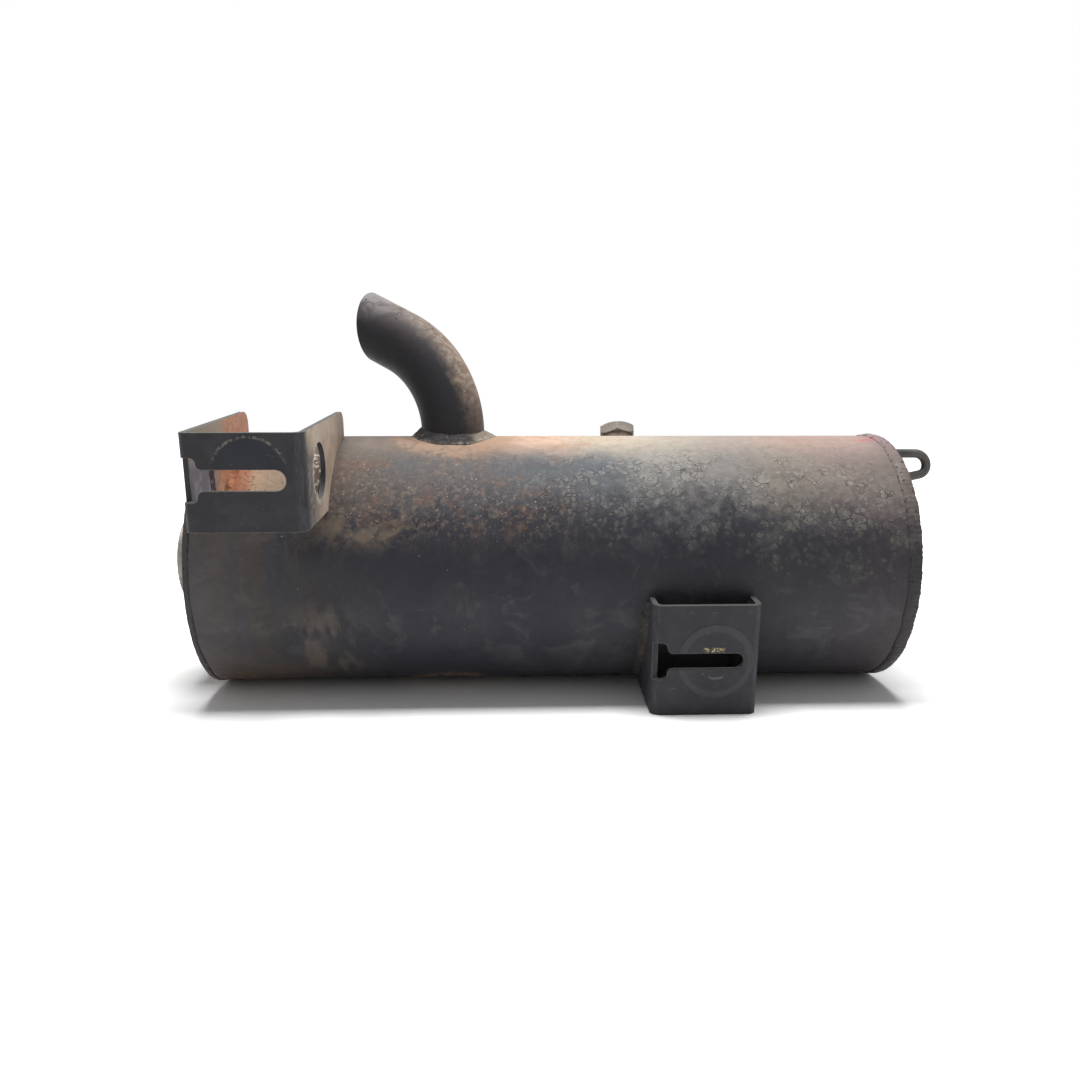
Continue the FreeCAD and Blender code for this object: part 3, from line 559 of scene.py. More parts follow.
def makeBracketFinish(name, low, look):
    finish, where = newFinish(name)
    axes = splitPlace(where)
    axis = Vector((0.0, axisY, axisZ))
    across = calc("SUBTRACT", axes[0], low.x + look["markAcross"])
    rise = calc("SUBTRACT", depthAlong(where, axis, bracketUp), look["markRise"])
    back = calc("ADD", depthAlong(where, axis, bracketBack), look["fromAxis"])
    front = fade(facing(-bracketBack), 0.8, 0.95)

    small = clouds(where, 0.004, 5.0, 0.6)
    patchy = clouds(where, 0.014, 6.0, 0.6, 0.4)
    fine = clouds(where, 0.0008, 3.0)
    colour = over(fade(patchy, 0.4, 0.65), look["coating"], bracketLook["patch"])
    colour = shade(colour, stretchTo(small, 0.82, 1.18))

    # where the washer sat
    radius = awayFrom(across, rise)
    wobbly = calc("ADD", radius, times(centred(small), 0.0012))
    edge = look["markRadius"]
    disc = times(fade(wobbly, edge + 0.0004, edge - 0.0004), front)
    rim = times(band(wobbly, edge - 0.0003, edge + 0.0011, 0.0005), front)
    if look is lowerLook:
        washerPrint = times(band(wobbly, edge - 0.004, edge, 0.0006), front)
        colour = cover(colour, look["washerPrint"], washerPrint, 0.45)
        bareArc = times(
            band(across, -0.0075, 0.0045, 0.001),
            band(rise, 0.0062, 0.0090, 0.0004),
            fade(clouds(where, 0.0018, 4.0, 0.7), 0.47, 0.53),
            front,
        )
        colour = cover(colour, look["bareArc"], bareArc)
        lowArc = times(band(wobbly, 0.0100, 0.0112, 0.0004), fade(rise, -0.006, -0.009))
        lowArc = times(lowArc, front)
        colour = cover(colour, look["lowArc"], lowArc, fade(small, 0.42, 0.55), 0.6)
    else:
        # the lower half of the print is worn away
        disc = times(disc, fade(rise, 0.0, 0.004))
        rim = times(rim, fade(rise, 0.005, 0.013))
        colour = cover(colour, look["printInside"], disc, 0.70)
        flecks = fade(clouds(where, 0.0022, 5.0, 0.7), 0.45, 0.56)
        colour = cover(colour, look["printFleck"], rim, flecks, 0.85)

    # heat tint and rust on the flanges
    if look is upperLook:
        rear = fade(back, 0.012, 0.075)
        outward = fade(facing((1.0, 0.0, 0.0)), 0.5, 0.9)
        inward = times(fade(across, 0.0, -0.02), outward)
        outerRight = times(fade(across, 0.0, 0.02), outward)
        beige = over(fade(patchy, 0.4, 0.62), look["beige"], look["beigePale"])
        beige = cover(beige, look["beigeRear"], fade(back, 0.07, 0.12))
        beige = cover(beige, look["beigeSpot"], fade(small, 0.56, 0.66), 0.5)
        greyPart = over(fade(small, 0.42, 0.60), look["grey"], look["greyPale"])
        aboveHole = fade(rise, 0.002, 0.020)
        creamTop = times(aboveHole, fade(back, 0.055, 0.025), fade(patchy, 0.34, 0.54))
        beige = cover(beige, look["cream"], creamTop, 0.65)
        shifted = calc("ADD", back, times(aboveHole, 0.024))
        beige = over(fade(shifted, 0.018, 0.046), greyPart, beige)
        colour = cover(colour, beige, outerRight, fade(back, 0.003, 0.014))
        # white crust on the front half of the round hole's rim
        holeBack = calc("SUBTRACT", back, look["holeBack"])
        holeRise = calc("SUBTRACT", rise, look["holeRise"])
        fromHole = awayFrom(holeBack, holeRise)
        crust = times(
            fade(fromHole, look["holeRadius"] + 0.0045, look["holeRadius"] + 0.0005),
            fade(across, 0.0, 0.02),
            fade(holeBack, 0.006, -0.006),
            fade(clouds(where, 0.0024, 5.0, 0.68), 0.43, 0.53),
        )
        colour = cover(colour, look["holeCrust"], crust, 0.85)
        # the inner face of the left flange: lavender by the slot, tan above, orange at the rear
        lilac = over(fade(patchy, 0.42, 0.62), look["lilac"], look["lilacPale"])
        lilac = cover(lilac, look["aboveSlot"], fade(rise, 0.000, 0.010))
        wavyBack = calc("ADD", back, times(centred(small), 0.008))
        strip = times(
            band(wavyBack, 0.037, 0.046, 0.001),
            fade(clouds(where, 0.005, 4.0), 0.30, 0.44),
            fade(rise, 0.012, 0.002),
        )
        tanned = over(fade(small, 0.42, 0.60), look["tanned"], look["tannedPale"])
        tannedFrom = calc("SUBTRACT", wavyBack, times(fade(rise, 0.006, 0.016), 0.016))
        inner = over(fade(tannedFrom, 0.043, 0.060), lilac, tanned)
        inner = cover(inner, look["darkStrip"], strip, 0.95)
        colour = cover(colour, inner, inward, fade(back, 0.001, 0.006))
        leftOut = times(fade(facing((-1.0, 0.0, 0.0)), 0.5, 0.9), rear)
        colour = cover(colour, look["outerLeft"], leftOut, 0.7)
        pits = dots(where, 0.006, 0.35, 0.10)
        colour = cover(colour, look["rearPit"], pits, rear, 0.8)

    # scuffs on the bends, fine scratches, worn edges, and a painted highlight on faces that look up
    bend = times(fade(facing((1.0, 0.0, 0.0)), 0.15, 0.5), fade(back, 0.012, 0.004))
    scuffs = fade(clouds(scaled(where, (1.0, 1.0, 0.22)), 0.0032, 6.0, 0.7), 0.46, 0.60)
    colour = cover(colour, bracketLook["rightBend"], bend, stretchTo(scuffs, 0.12, 0.42))
    leftBend = fade(facing((-1.0, 0.0, 0.0)), 0.2, 0.6)
    leftBend = times(leftBend, fade(back, 0.010, 0.003))
    colour = cover(colour, bracketLook["leftBend"], leftBend, scuffs, 0.35)
    scratchField = clouds(scaled(where, (0.25, 1.0, 1.0)), 0.0016, 3.0, 0.6)
    scratches = times(fade(scratchField, 0.66, 0.71), 0.35)
    colour = cover(colour, bracketLook["scratch"], scratches)
    edges, roundedNormal = edgeWear(0.0007)
    # painted highlight: faces that look up are made paler, as if lit from above
    topHighlightShare = fade(facing((0.0, 0.0, 1.0)), 0.75, 0.95)
    edgeShare = times(edges, stretchTo(fade(small, 0.35, 0.6), 0.35, 0.95))
    colour = cover(colour, bracketLook["paintedTopHighlight"], topHighlightShare, 0.35)
    colour = cover(colour, look["worn"], edgeShare)

    rough = stretchTo(small, 0.42, 0.68)
    height = addUp(times(small, 0.5), times(fine, 0.35))
    height = addUp(height, times(rim, 0.8), times(disc, -0.5))
    return finishOff(finish, colour, rough, height, 0.00025, normal=roundedNormal, specular=0.18)


wear("upper_bracket", makeBracketFinish("upperBracketCoating", upperLow, upperLook))
wear("lower_bracket", makeBracketFinish("lowerBracketCoating", lowerLow, lowerLook))
print("brackets finished")


# The tail pipe: charcoal, browned on the outside of its bend with a painted highlight on the side facing up
# and right, with pits

pipeLook = {
    "coating": "2f2e31",
    "outside": "7e6d60",
    "outsidePale": "96887c",
    "outsideLow": "4b4443",
    "mouth": "7c7b7c",
    "mouthLevel": cadBounds[1][2],
    "pit": "2c2826",
    "rust": "4f4341",
    "bareSpeck": "a9a39b",
    "edge": "8c857c",
}


def makePipeFinish():
    look = pipeLook
    finish, where = newFinish("brownedTailPipe")
    axes = splitPlace(where)
    small = clouds(where, 0.004, 5.0, 0.6)
    patchy = clouds(where, 0.02, 6.0, 0.62, 0.5)
    fine = clouds(where, 0.0009, 3.0)
    # browning and painted highlight: the side facing up, right and to the front gets the paler brown; lower
    # down it is darker
    outside = calc("ADD", facing((0.72, -0.25, 0.55)), times(centred(patchy), 0.7))
    high = fade(axes[2], look["mouthLevel"] - 0.060, look["mouthLevel"])
    low = fade(axes[2], look["mouthLevel"] - 0.060, look["mouthLevel"] - 0.085)
    brown = over(fade(small, 0.42, 0.60), look["outside"], look["outsidePale"])
    brown = cover(brown, look["outsideLow"], low, 0.7)
    colour = over(fade(outside, 0.48, 0.95), look["coating"], brown)
    colour = cover(colour, look["rust"], fade(outside, -0.2, 0.4), high, 0.55)
    mouthTop = fade(axes[2], look["mouthLevel"] - 0.024, look["mouthLevel"] - 0.006)
    mouthTop = times(mouthTop, fade(patchy, 0.36, 0.52))
    colour = cover(colour, look["mouth"], mouthTop, 0.75)
    colour = shade(colour, stretchTo(small, 0.72, 1.28))
    pitField = dots(bentBy(where, 0.003, 0.0025), 0.0052, 0.38, 0.20)
    pits = times(pitField, fade(outside, 0.25, 0.6))
    colour = cover(colour, look["pit"], pits, 0.75)
    bareSpecks = times(dots(where, 0.0040, 0.14, 0.16), fade(outside, 0.3, 0.7))
    colour = cover(colour, look["bareSpeck"], bareSpecks, 0.6)
    edges, roundedNormal = edgeWear(0.0006)
    colour = cover(colour, look["edge"], edges, 0.5)
    height = addUp(times(small, 0.6), times(fine, 0.3), times(pits, -1.2))
    return finishOff(
        finish, colour, stretchTo(small, 0.45, 0.7), height, 0.0003, normal=roundedNormal, specular=0.15
    )


wear("tail_pipe", makePipeFinish())
print("tail pipe finished")


# Plain worn steels: inlet, heads, plug, boss, rod, and the sooted inside

steelLooks = {
    "mottledInletSteel": {
        "dark": "8a847c", "light": "b3aca2", "stain": "7b6a5c",
        "pieces": ["inlet_tube"],
    },
    "scaledHeadCoating": {
        "dark": "403c3a", "light": "5c534c", "stain": "74604f", "grain": 0.012, "metallic": 0.0,
        "pieces": ["left_head", "right_head"],
    },
    "dullPlugSteel": {
        "dark": "857f78", "light": "9c948c", "stain": "6e625a",
        "pieces": ["cleanout_plug"],
    },
    "brownedBossSteel": {
        "dark": "5e544d", "light": "786b60", "stain": "84664f",
        "pieces": ["cleanout_boss"],
    },
    "darkRodSteel": {
        "dark": "3b3a3a", "light": "565351", "stain": "6a5a4c", "metallic": 0.1,
        "pieces": ["hanger_loop"],
    },
    "sootedInnerSteel": {
        "dark": "3a3532", "light": "554c46", "stain": "6b4e3c",
        "pieces": [
            "inlet_cap", "swirl_vanes", "left_baffle", "right_baffle",
            "front_return_tube", "rear_return_tube",
        ],
    },
}
steelCommon = {"grain": 0.006, "metallic": 0.35, "edge": "9a948c"}


def makeSteelFinish(name, look):
    grain = look["grain"]  # metres
    finish, where = newFinish(name)
    small = clouds(where, grain * 0.5, 5.0, 0.6)
    patchy = clouds(where, grain * 3.0, 6.0, 0.62, 0.5)
    fine = clouds(where, 0.0008, 3.0)
    colour = over(fade(patchy, 0.38, 0.64), look["dark"], look["light"])
    spots = fade(clouds(where, grain, 6.0, 0.7), 0.55, 0.64)
    colour = cover(colour, look["stain"], spots, 0.6)
    colour = shade(colour, stretchTo(small, 0.84, 1.16))
    edges, roundedNormal = edgeWear(0.0006)
    colour = cover(colour, look["edge"], edges, 0.6)
    height = addUp(times(small, 0.6), times(fine, 0.3))
    rough = stretchTo(small, 0.4, 0.65)
    return finishOff(finish, colour, rough, height, 0.0002, metallic=look["metallic"], normal=roundedNormal)


for name, ownLook in steelLooks.items():
    finish = makeSteelFinish(name, {**steelCommon, **ownLook})
    for nodeName in ownLook["pieces"]:
        wear(nodeName, finish)
print("steels finished")


# Weld beads, laid ring by ring in place of the smooth beads of the frame

weldLook = {
    # the dark, the light and the stain of each finish
    "brownSeamWeld": ("4a423c", "6b6057", "7d5d46"),
    "darkBracketWeld": ("363536", "4c4947", "5a4a40"),
    "burntBracketWeld": ("8a5a42", "b67c5c", "4a342a"),
    "pit": "2b2726",
    "salt": "a9a196",
}


def makeWeldFinish(name):
    dark, light, stain = weldLook[name]
    finish, where = newFinish(name)
    small = clouds(where, 0.0025, 6.0, 0.65)
    patchy = clouds(where, 0.011, 6.0, 0.65, 0.8)
    colour = over(fade(patchy, 0.38, 0.62), dark, light)
    colour = cover(colour, stain, fade(clouds(where, 0.005, 6.0, 0.7), 0.53, 0.62), 0.7)
    pits = dots(where, 0.0045, 0.35, 0.16)
    colour = cover(colour, weldLook["pit"], pits, 0.8)
    salt = dots(where, 0.0035, 0.10, 0.13)
    colour = cover(colour, weldLook["salt"], salt, 0.7)
    colour = shade(colour, stretchTo(small, 0.72, 1.28))
    height = addUp(times(small, 1.0), times(pits, -1.5))
    return finishOff(finish, colour, stretchTo(small, 0.55, 0.85), height, 0.0004, specular=0.15)


seamWeldFinish = makeWeldFinish("brownSeamWeld")
darkWeldFinish = makeWeldFinish("darkBracketWeld")
burntWeldFinish = makeWeldFinish("burntBracketWeld")


boxMargin = 0.00002


def keepInBox(point):  # the frame's box is the limit at the floor and at the back
    point.z = max(point.z, floorLevel + boxMargin)
    point.y = min(point.y, backLimit - boxMargin)
    return point


def layBead(nodeName, finish, sections, look, closed=True):
    # a section is a function from a share of the way round to one ring of the bead
    steps, seed = look["steps"], look["seed"]
    points, faces = [], []
    for section in sections:
        start = len(points)
        rings = steps if closed else steps + 1
        for step in range(rings):
            ring = section(step / steps)
            count = len(ring)
            for point, outward, freedom, distance in ring:
                lump = noise.noise(point / 0.006 + Vector((seed, 0.0, 0.0)))
                lump += 0.5 * noise.noise(point / 0.0025 + Vector((0.0, seed, 0.0)))
                wave = abs(math.sin(math.pi * distance / look["period"] + freedom)) - 0.5
                push = (look["roughness"] * lump + look["ripple"] * wave) * freedom
                points.append(keepInBox(point + outward * push))
        for ring in range(rings if closed else rings - 1):
            following = (ring + 1) % rings
            for place in range(count):
                beside = (place + 1) % count
                here, there = start + ring * count, start + following * count
                faces.append((here + place, here + beside, there + beside, there + place))
        if not closed:
            faces.append(tuple(start + place for place in reversed(range(count))))
            faces.append(tuple(start + (rings - 1) * count + place for place in range(count)))
    name = "".join(word.capitalize() for word in nodeName.split("_")) + "Bead"
    mesh = bpy.data.meshes.new(name)
    mesh.from_pydata(points, [], faces)
    mesh.update()
    for polygon in mesh.polygons:
        polygon.use_smooth = True
    mesh.materials.append(finish)
    bead = bpy.data.objects.new(name, mesh)
    bpy.context.scene.collection.objects.link(bead)
    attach(bead, "root")
    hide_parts(nodeName)


def roundTheShell(angle, radius, x):  # angle from the top towards the front
    return Vector((x, axisY - radius * math.sin(angle), axisZ + radius * math.cos(angle)))


def outwardAt(angle):
    return Vector((0.0, -math.sin(angle), math.cos(angle)))


# share of the width, share of the height, freedom to wander
endHump = [
    (1.00, 0.00, 0.10), (0.90, 0.42, 0.5), (0.75, 0.78, 0.9), (0.58, 0.96, 1.0), (0.40, 1.00, 1.0),
    (0.22, 0.90, 1.0), (0.08, 0.68, 1.0),
]
# depth below the shell's outside, share of the reach, freedom to wander
endFace = [
    (-0.0006, 0.55, 1.0), (0.0003, 0.9, 1.0), (0.0014, 1.0, 0.9), (0.0028, 0.8, 0.7), (0.0040, 0.35, 0.4),
]
rightBeadLook = {
    "width": 0.0075, "height": 0.0009, "proud": 0.0013, "reach": 0.0011, "wander": 0.16, "widthSeed": 3.0,
    "steps": 720, "roughness": 0.00048, "period": 0.0032, "ripple": 0.00022, "seed": 11.0,
}
leftBeadLook = {
    "width": 0.0028, "height": 0.0005, "proud": 0.0007, "reach": 0.0011, "wander": 0.25, "widthSeed": 8.0,
    "steps": 720, "roughness": 0.00022, "period": 0.0022, "ripple": 0.00012, "seed": 21.0,
}


def endSection(side, look):
    endX = rightEnd if side > 0 else leftEnd

    def section(part):
        angle = 2 * math.pi * part
        outward = outwardAt(angle)
        sideways = Vector((side, 0.0, 0.0))
        distance = shellRadius * angle
        shift = Vector((look["widthSeed"], 0.0, 0.0))
        spread = 1.0 + look["wander"] * noise.noise(outward * 5.0 + shift)
        # the bead may stand prouder on the side away from the floor and the back
        openSide = max(0.0, math.cos(angle - math.radians(55)))
        height = look["height"] + (look["proud"] - look["height"]) * openSide
        width = look["width"] * spread
        ring = []
        for share, lift, freedom in endHump:
            place = roundTheShell(angle, shellRadius + lift * height, endX - side * share * width)
            ring.append((place, (outward + sideways * 0.3).normalized(), freedom, distance))
        for depth, push, freedom in endFace:
            place = roundTheShell(angle, shellRadius - depth, endX + side * push * look["reach"])
            ring.append((place, (sideways + outward * 0.4).normalized(), freedom, distance))
        for depth, inset in ((0.0048, 0.0016), (0.0016, 0.0030), (0.0004, width)):
            place = roundTheShell(angle, shellRadius - depth, endX - side * inset)
            ring.append((place, outward, 0.0, distance))
        return ring

    return section


rightWeldFinish = makeShellFinish("scaledRightEndWeld", rightEnd - rightBeadLook["width"])
leftWeldFinish = makeShellFinish("scaledLeftEndWeld", leftEnd + leftBeadLook["width"])
layBead("right_head_weld", rightWeldFinish, [endSection(1, rightBeadLook)], rightBeadLook)
layBead("left_head_weld", leftWeldFinish, [endSection(-1, leftBeadLook)], leftBeadLook)
print("end welds laid")


def filletRing(corner, first, second, firstLeg, secondLeg, distance, bulge):
    # a rounded fillet between two legs that leave a corner, its rim sunk in
    middle = (first + second).normalized()
    firstEnd = corner + first * firstLeg
    secondEnd = corner + second * secondLeg
    sunk = 0.0008
    ring = []
    cuts = 8
    for place in range(cuts + 1):
        share = place / cuts
        swell = max(0.0, math.sin(math.pi * share))
        point = firstEnd.lerp(secondEnd, share) + middle * (swell * bulge * min(firstLeg, secondLeg))
        ring.append((point, middle, math.sqrt(swell), distance))
    for point in (secondEnd - first * sunk, corner - middle * sunk, firstEnd - second * sunk):
        ring.append((point, middle, 0.0, distance))
    return ring


flangeLook = {
    "upperArc": (10.5, 58.5),  # degrees from the top towards the front
    "lowerArc": (101.0, 154.5),
    "leg": 0.0044,
    "steps": 150, "roughness": 0.00035, "period": 0.0026, "ripple": 0.00020, "seed": 31.0,
}


def flangeSection(faceX, outward, arc):
    startAngle, endAngle = (math.radians(angle) for angle in arc)

    def section(part):
        angle = startAngle + (endAngle - startAngle) * part
        distance = shellRadius * (angle - startAngle)
        taper = min(1.0, 6.0 * part + 0.35, 6.0 * (1.0 - part) + 0.35)
        change = 1.0 + 0.22 * noise.noise(Vector((distance * 120, faceX * 40, 0.0)))
        leg = flangeLook["leg"] * taper * change
        corner = roundTheShell(angle, shellRadius, faceX)
        sideways = Vector((outward, 0.0, 0.0))
        return filletRing(corner, sideways, outwardAt(angle), leg, leg * 0.9, distance, 0.20)

    return section


for nodeName, faceX, outward, arc, finish in (
    ("upper_bracket_left_weld", upperLow.x + bracketLook["sheet"], 1, "upperArc", burntWeldFinish),
    ("upper_bracket_right_weld", upperHigh.x - bracketLook["sheet"], -1, "upperArc", darkWeldFinish),
    ("lower_bracket_left_weld", lowerLow.x, -1, "lowerArc", darkWeldFinish),
    ("lower_bracket_right_weld", lowerHigh.x - bracketLook["sheet"], -1, "lowerArc", darkWeldFinish),
):
    beadLook = {**flangeLook, "seed": flangeLook["seed"] + faceX * 100}  # no two flanges are alike
    layBead(nodeName, finish, [flangeSection(faceX, outward, flangeLook[arc])], beadLook, closed=False)
print("bracket welds laid")


def saddleSection(centreX, lean, look):
    # round a pipe that stands on the shell, leaning towards the back
    radius = look["radius"]
    turnBack = Matrix.Rotation(-lean, 3, "X")
    base = Vector((centreX, axisY, axisZ))

    def section(part):
        angle = 2 * math.pi * part
        side = Vector((math.cos(angle), math.sin(angle), 0.0))
        across = side.y * radius
        corner = Vector((side.x * radius, across, math.sqrt(shellRadius ** 2 - across ** 2)))
        slope = Vector((0.0, corner.y, corner.z)).normalized()
        away = (side - slope * side.dot(slope)).normalized()
        change = 1.0 + 0.20 * noise.noise(side * 2.2 + Vector((radius * 900, 0.0, 0.0)))
        right, front = max(0.0, side.x), max(0.0, -side.y)
        outLeg = look["out"] + look["outRight"] * right + look["outFront"] * front
        upLeg = look["up"] + look["upRight"] * right + look["upFront"] * front
        rise = Vector((0.0, 0.0, 1.0))
        legs = outLeg * change, upLeg * change
        ring = filletRing(corner, away, rise, *legs, radius * angle, look["bulge"])
        return [(turnBack @ point + base, turnBack @ outward, *rest) for point, outward, *rest in ring]

    return section


def rodSection(centre, radius, leg, sideways):
    # round a rod or tube that stands on a face across the shell's axis
    def section(part):
        angle = 2 * math.pi * part
        outward = Vector((0.0, math.cos(angle), math.sin(angle)))
        change = 1.0 + 0.20 * noise.noise(outward * 2.0 + centre * 50)
        corner, side = centre + outward * radius, Vector((sideways, 0.0, 0.0))
        return filletRing(corner, outward, side, leg * change, leg * change * 0.9, radius * angle, 0.10)

    return section


def middleOf(nodeName):
    low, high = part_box(nodeName)
    return (Vector(low) + Vector(high)) / 2


collarLook = {
    "radius": 0.0208,
    "out": 0.0066,
    "outRight": 0.0016,  # how much longer the leg is at the right and at the front
    "outFront": 0.0016,
    "up": 0.0060,
    "upRight": -0.0018,
    "upFront": -0.0015,
    "bulge": -0.02,
    "dark": "2d2c2f", "darkPale": "3c3a3b", "rightCrust": "94877c", "toeCrust": "958b80",
    "brown": "6d5544", "pit": "262323", "salt": "c4bdb2",
    "steps": 300, "roughness": 0.00060, "period": 0.0036, "ripple": 0.00030, "seed": 41.0,
}
collarMiddle = middleOf("tail_pipe_weld")


def makeCollarFinish():  # dark at the pipe, with a pale salty crust along the toe and at the right
    finish, where = newFinish("saltyCollarWeld")
    axes = splitPlace(where)
    small = clouds(where, 0.0022, 6.0, 0.68)
    patchy = clouds(where, 0.009, 6.0, 0.65, 0.6)
    wander = times(centred(patchy), 0.012)
    wander = addUp(wander, times(centred(small), 0.004))
    across = calc("SUBTRACT", axes[0], collarMiddle.x)
    forward = calc("SUBTRACT", axes[1], axisY)
    fromPipe = awayFrom(across, forward)
    toe = fade(calc("ADD", fromPipe, wander), 0.0262, 0.0300)
    right = fade(calc("ADD", across, wander), 0.010, 0.021)
    colour = over(fade(patchy, 0.38, 0.62), collarLook["dark"], collarLook["darkPale"])
    colour = cover(colour, collarLook["rightCrust"], right, 0.75)
    colour = cover(colour, collarLook["toeCrust"], toe, fade(small, 0.36, 0.56), 0.65)
    brown = fade(clouds(where, 0.004, 6.0, 0.7), 0.54, 0.63)
    colour = cover(colour, collarLook["brown"], brown, 0.55)
    curvy = bentBy(where, 0.003, 0.0025)
    pits = dots(curvy, 0.0042, 0.40, 0.20)
    colour = cover(colour, collarLook["pit"], pits, 0.85)
    salt = dots(curvy, 0.0030, 0.10, 0.17)
    colour = cover(colour, collarLook["salt"], salt, 0.75)
    colour = shade(colour, stretchTo(small, 0.68, 1.32))
    height = addUp(small, times(pits, -1.5), times(salt, 0.5))
    return finishOff(finish, colour, stretchTo(small, 0.55, 0.85), height, 0.0005, specular=0.12)


collarRun = saddleSection(collarMiddle.x, 0.0, collarLook)
layBead("tail_pipe_weld", makeCollarFinish(), [collarRun], collarLook)

bossLook = {
    "radius": 0.0108,
    "lean": 28.7,  # degrees, towards the back
    "out": 0.0030, "outRight": 0.0, "outFront": 0.0,
    "up": 0.0028, "upRight": 0.0, "upFront": 0.0,
    "bulge": 0.05,
    "steps": 160, "roughness": 0.00030, "period": 0.0022, "ripple": 0.00015, "seed": 51.0,
}
bossRun = saddleSection(middleOf("cleanout_plug").x, math.radians(bossLook["lean"]), bossLook)
layBead("cleanout_boss_weld", darkWeldFinish, [bossRun], bossLook)

inletLook = {
    "panelRise": 0.0025, "radius": 0.0268, "leg": 0.0050,
    "steps": 320, "roughness": 0.00035, "period": 0.0026, "ripple": 0.00020, "seed": 61.0,
}
inletCentre = Vector((leftEnd - inletLook["panelRise"], axisY, axisZ))
inletRun = rodSection(inletCentre, inletLook["radius"], inletLook["leg"], -1)
layBead("inlet_weld", seamWeldFinish, [inletRun], inletLook)

loopLook = {
    "rod": 0.0029, "leg": 0.0026, "reach": 0.0055,
    "steps": 64, "roughness": 0.00025, "period": 0.0020, "ripple": 0.00012, "seed": 71.0,
}
loopLow, loopHigh = (Vector(corner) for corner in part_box("hanger_loop_welds"))
loopRuns = []
for footRise in (loopHigh.z - loopLook["reach"], loopLow.z + loopLook["reach"]):
    foot = Vector((rightEnd, (loopLow.y + loopHigh.y) / 2, footRise))
    loopRuns.append(rodSection(foot, loopLook["rod"], loopLook["leg"], 1))
layBead("hanger_loop_welds", darkWeldFinish, loopRuns, loopLook)

seamLook = {
    "angle": -125.0, "width": 0.0045, "height": 0.0008, "leftGap": 0.0022, "rightGap": 0.0070,
    "steps": 900, "roughness": 0.00020, "period": 0.0024, "ripple": 0.00015, "seed": 81.0,
}


def seamSection(part):
    start = leftEnd + seamLook["leftGap"]
    x = start + (rightEnd - seamLook["rightGap"] - start) * part
    ring = []
    cuts = 6
    for place in range(cuts + 1):
        share = place / cuts
        angle = math.radians(seamLook["angle"]) + (share - 0.5) * seamLook["width"] / shellRadius
        swell = max(0.0, math.sin(math.pi * share))
        point = roundTheShell(angle, shellRadius + (swell - 0.15) * seamLook["height"], x)
        ring.append((point, outwardAt(angle), swell, x - start))
    middle = math.radians(seamLook["angle"])
    foot = roundTheShell(middle, shellRadius - seamLook["height"], x)
    ring.append((foot, outwardAt(middle), 0.0, x - start))
    return ring


layBead("shell_seam_weld", seamWeldFinish, [seamSection], seamLook, closed=False)
print("small welds laid")


# Lights, floor and camera

studio = {
    "worldStrength": 0.255,
    "topEnergy": 21.0,
    "topSize": (0.9, 0.5),
    "topPlace": (0.0, 0.05, 1.25),
    "topAim": (0.0, 0.0, 0.08),
    "floorHalf": 6.0,
    "floorSeen": 1.33,
    "floorLit": 0.75,
    "whiteFrom": 0.22,
    "whiteFull": 0.55,
    "cameraPlace": (-0.03850, -0.57886, 0.18266),
    "cameraDown": 8.302,
    "cameraTurn": -2.282,
    "lens": 29.379,
}


def background(level):
    node = addNode("ShaderNodeBackground")
    node.inputs["Color"].default_value = (1.0, 1.0, 1.0, 1.0)
    node.inputs["Strength"].default_value = level
    return node.outputs[0]


def diffuse(level):
    node = addNode("ShaderNodeBsdfDiffuse")
    node.inputs["Color"].default_value = (level, level, level, 1.0)
    return node.outputs[0]


def seenOrLit(seen, lit, kind):  # the camera and reflections get the first shader, light the second
    ray = addNode("ShaderNodeLightPath")
    mix = addNode("ShaderNodeMixShader")
    reflected = calc("MAXIMUM", ray.outputs["Is Glossy Ray"], ray.outputs["Is Transmission Ray"])
    feed(calc("MAXIMUM", ray.outputs["Is Camera Ray"], reflected), mix.inputs[0])
    feed(lit, mix.inputs[1])
    feed(seen, mix.inputs[2])
    output = addNode(kind)
    feed(mix.outputs[0], output.inputs[0])


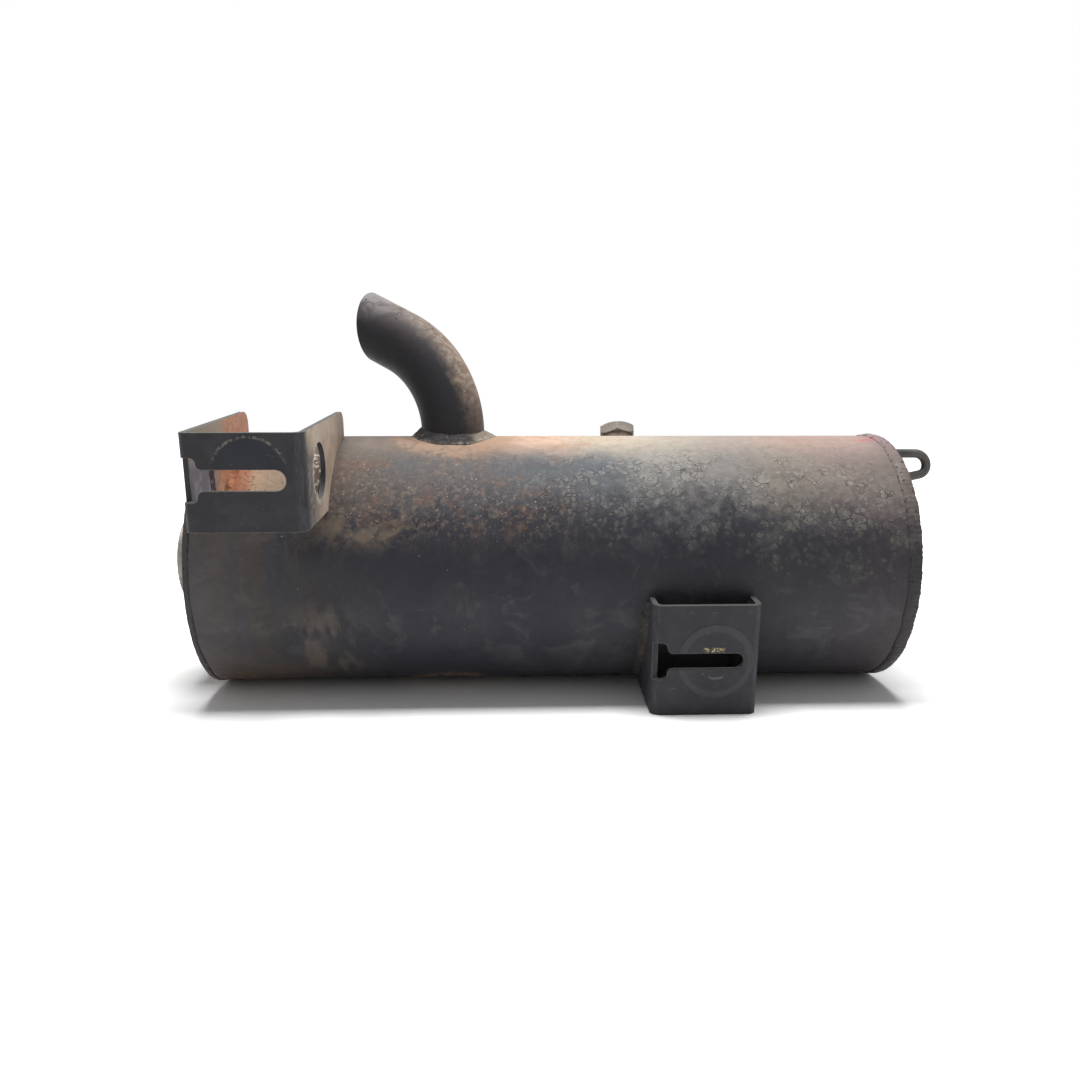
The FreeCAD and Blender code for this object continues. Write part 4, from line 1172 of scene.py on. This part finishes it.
def setStudio():
    scene = bpy.context.scene
    world = bpy.data.worlds.new("whiteStudio")
    scene.world = world
    startTree(world)
    seenOrLit(background(1.0), background(studio["worldStrength"]), "ShaderNodeOutputWorld")

    lamp = bpy.data.lights.new("topSoftbox", "AREA")
    lamp.shape = "RECTANGLE"
    lamp.size, lamp.size_y = studio["topSize"]
    lamp.energy = studio["topEnergy"]
    softbox = bpy.data.objects.new("topSoftbox", lamp)
    softbox.location = studio["topPlace"]
    aim = Vector(studio["topAim"]) - softbox.location
    softbox.rotation_euler = aim.to_track_quat("-Z", "Y").to_euler()
    scene.collection.objects.link(softbox)

    # the floor turns to plain white away from the muffler, and keeps its shadow near it
    half = studio["floorHalf"]
    corners = [(x * half, y * half, floorLevel) for x, y in ((-1, -1), (1, -1), (1, 1), (-1, 1))]
    floorMesh = bpy.data.meshes.new("whiteTable")
    floorMesh.from_pydata(corners, [], [(0, 1, 2, 3)])
    floor = bpy.data.objects.new("whiteTable", floorMesh)
    scene.collection.objects.link(floor)
    finish, where = newFinish("whiteTableTop")
    axes = splitPlace(where)
    forward = calc("SUBTRACT", axes[1], axisY)
    sideways = times(axes[0], 0.6)
    distance = awayFrom(sideways, forward)
    glow = addNode("ShaderNodeEmission")
    feed(fade(distance, studio["whiteFrom"], studio["whiteFull"]), glow.inputs["Strength"])
    both = addNode("ShaderNodeAddShader")
    feed(diffuse(studio["floorSeen"]), both.inputs[0])
    feed(glow.outputs[0], both.inputs[1])
    seenOrLit(both.outputs[0], diffuse(studio["floorLit"]), "ShaderNodeOutputMaterial")
    floorMesh.materials.append(finish)

    lens = bpy.data.cameras.new("tableCamera")
    lens.lens = studio["lens"]
    lens.sensor_width = 36.0
    lens.clip_start = 0.02
    camera = bpy.data.objects.new("tableCamera", lens)
    camera.location = studio["cameraPlace"]
    down, turn = math.radians(90.0 - studio["cameraDown"]), math.radians(studio["cameraTurn"])
    camera.rotation_euler = (down, 0.0, turn)
    scene.collection.objects.link(camera)
    scene.camera = camera
    scene.view_settings.view_transform = "Standard"


setStudio()
print("studio set")
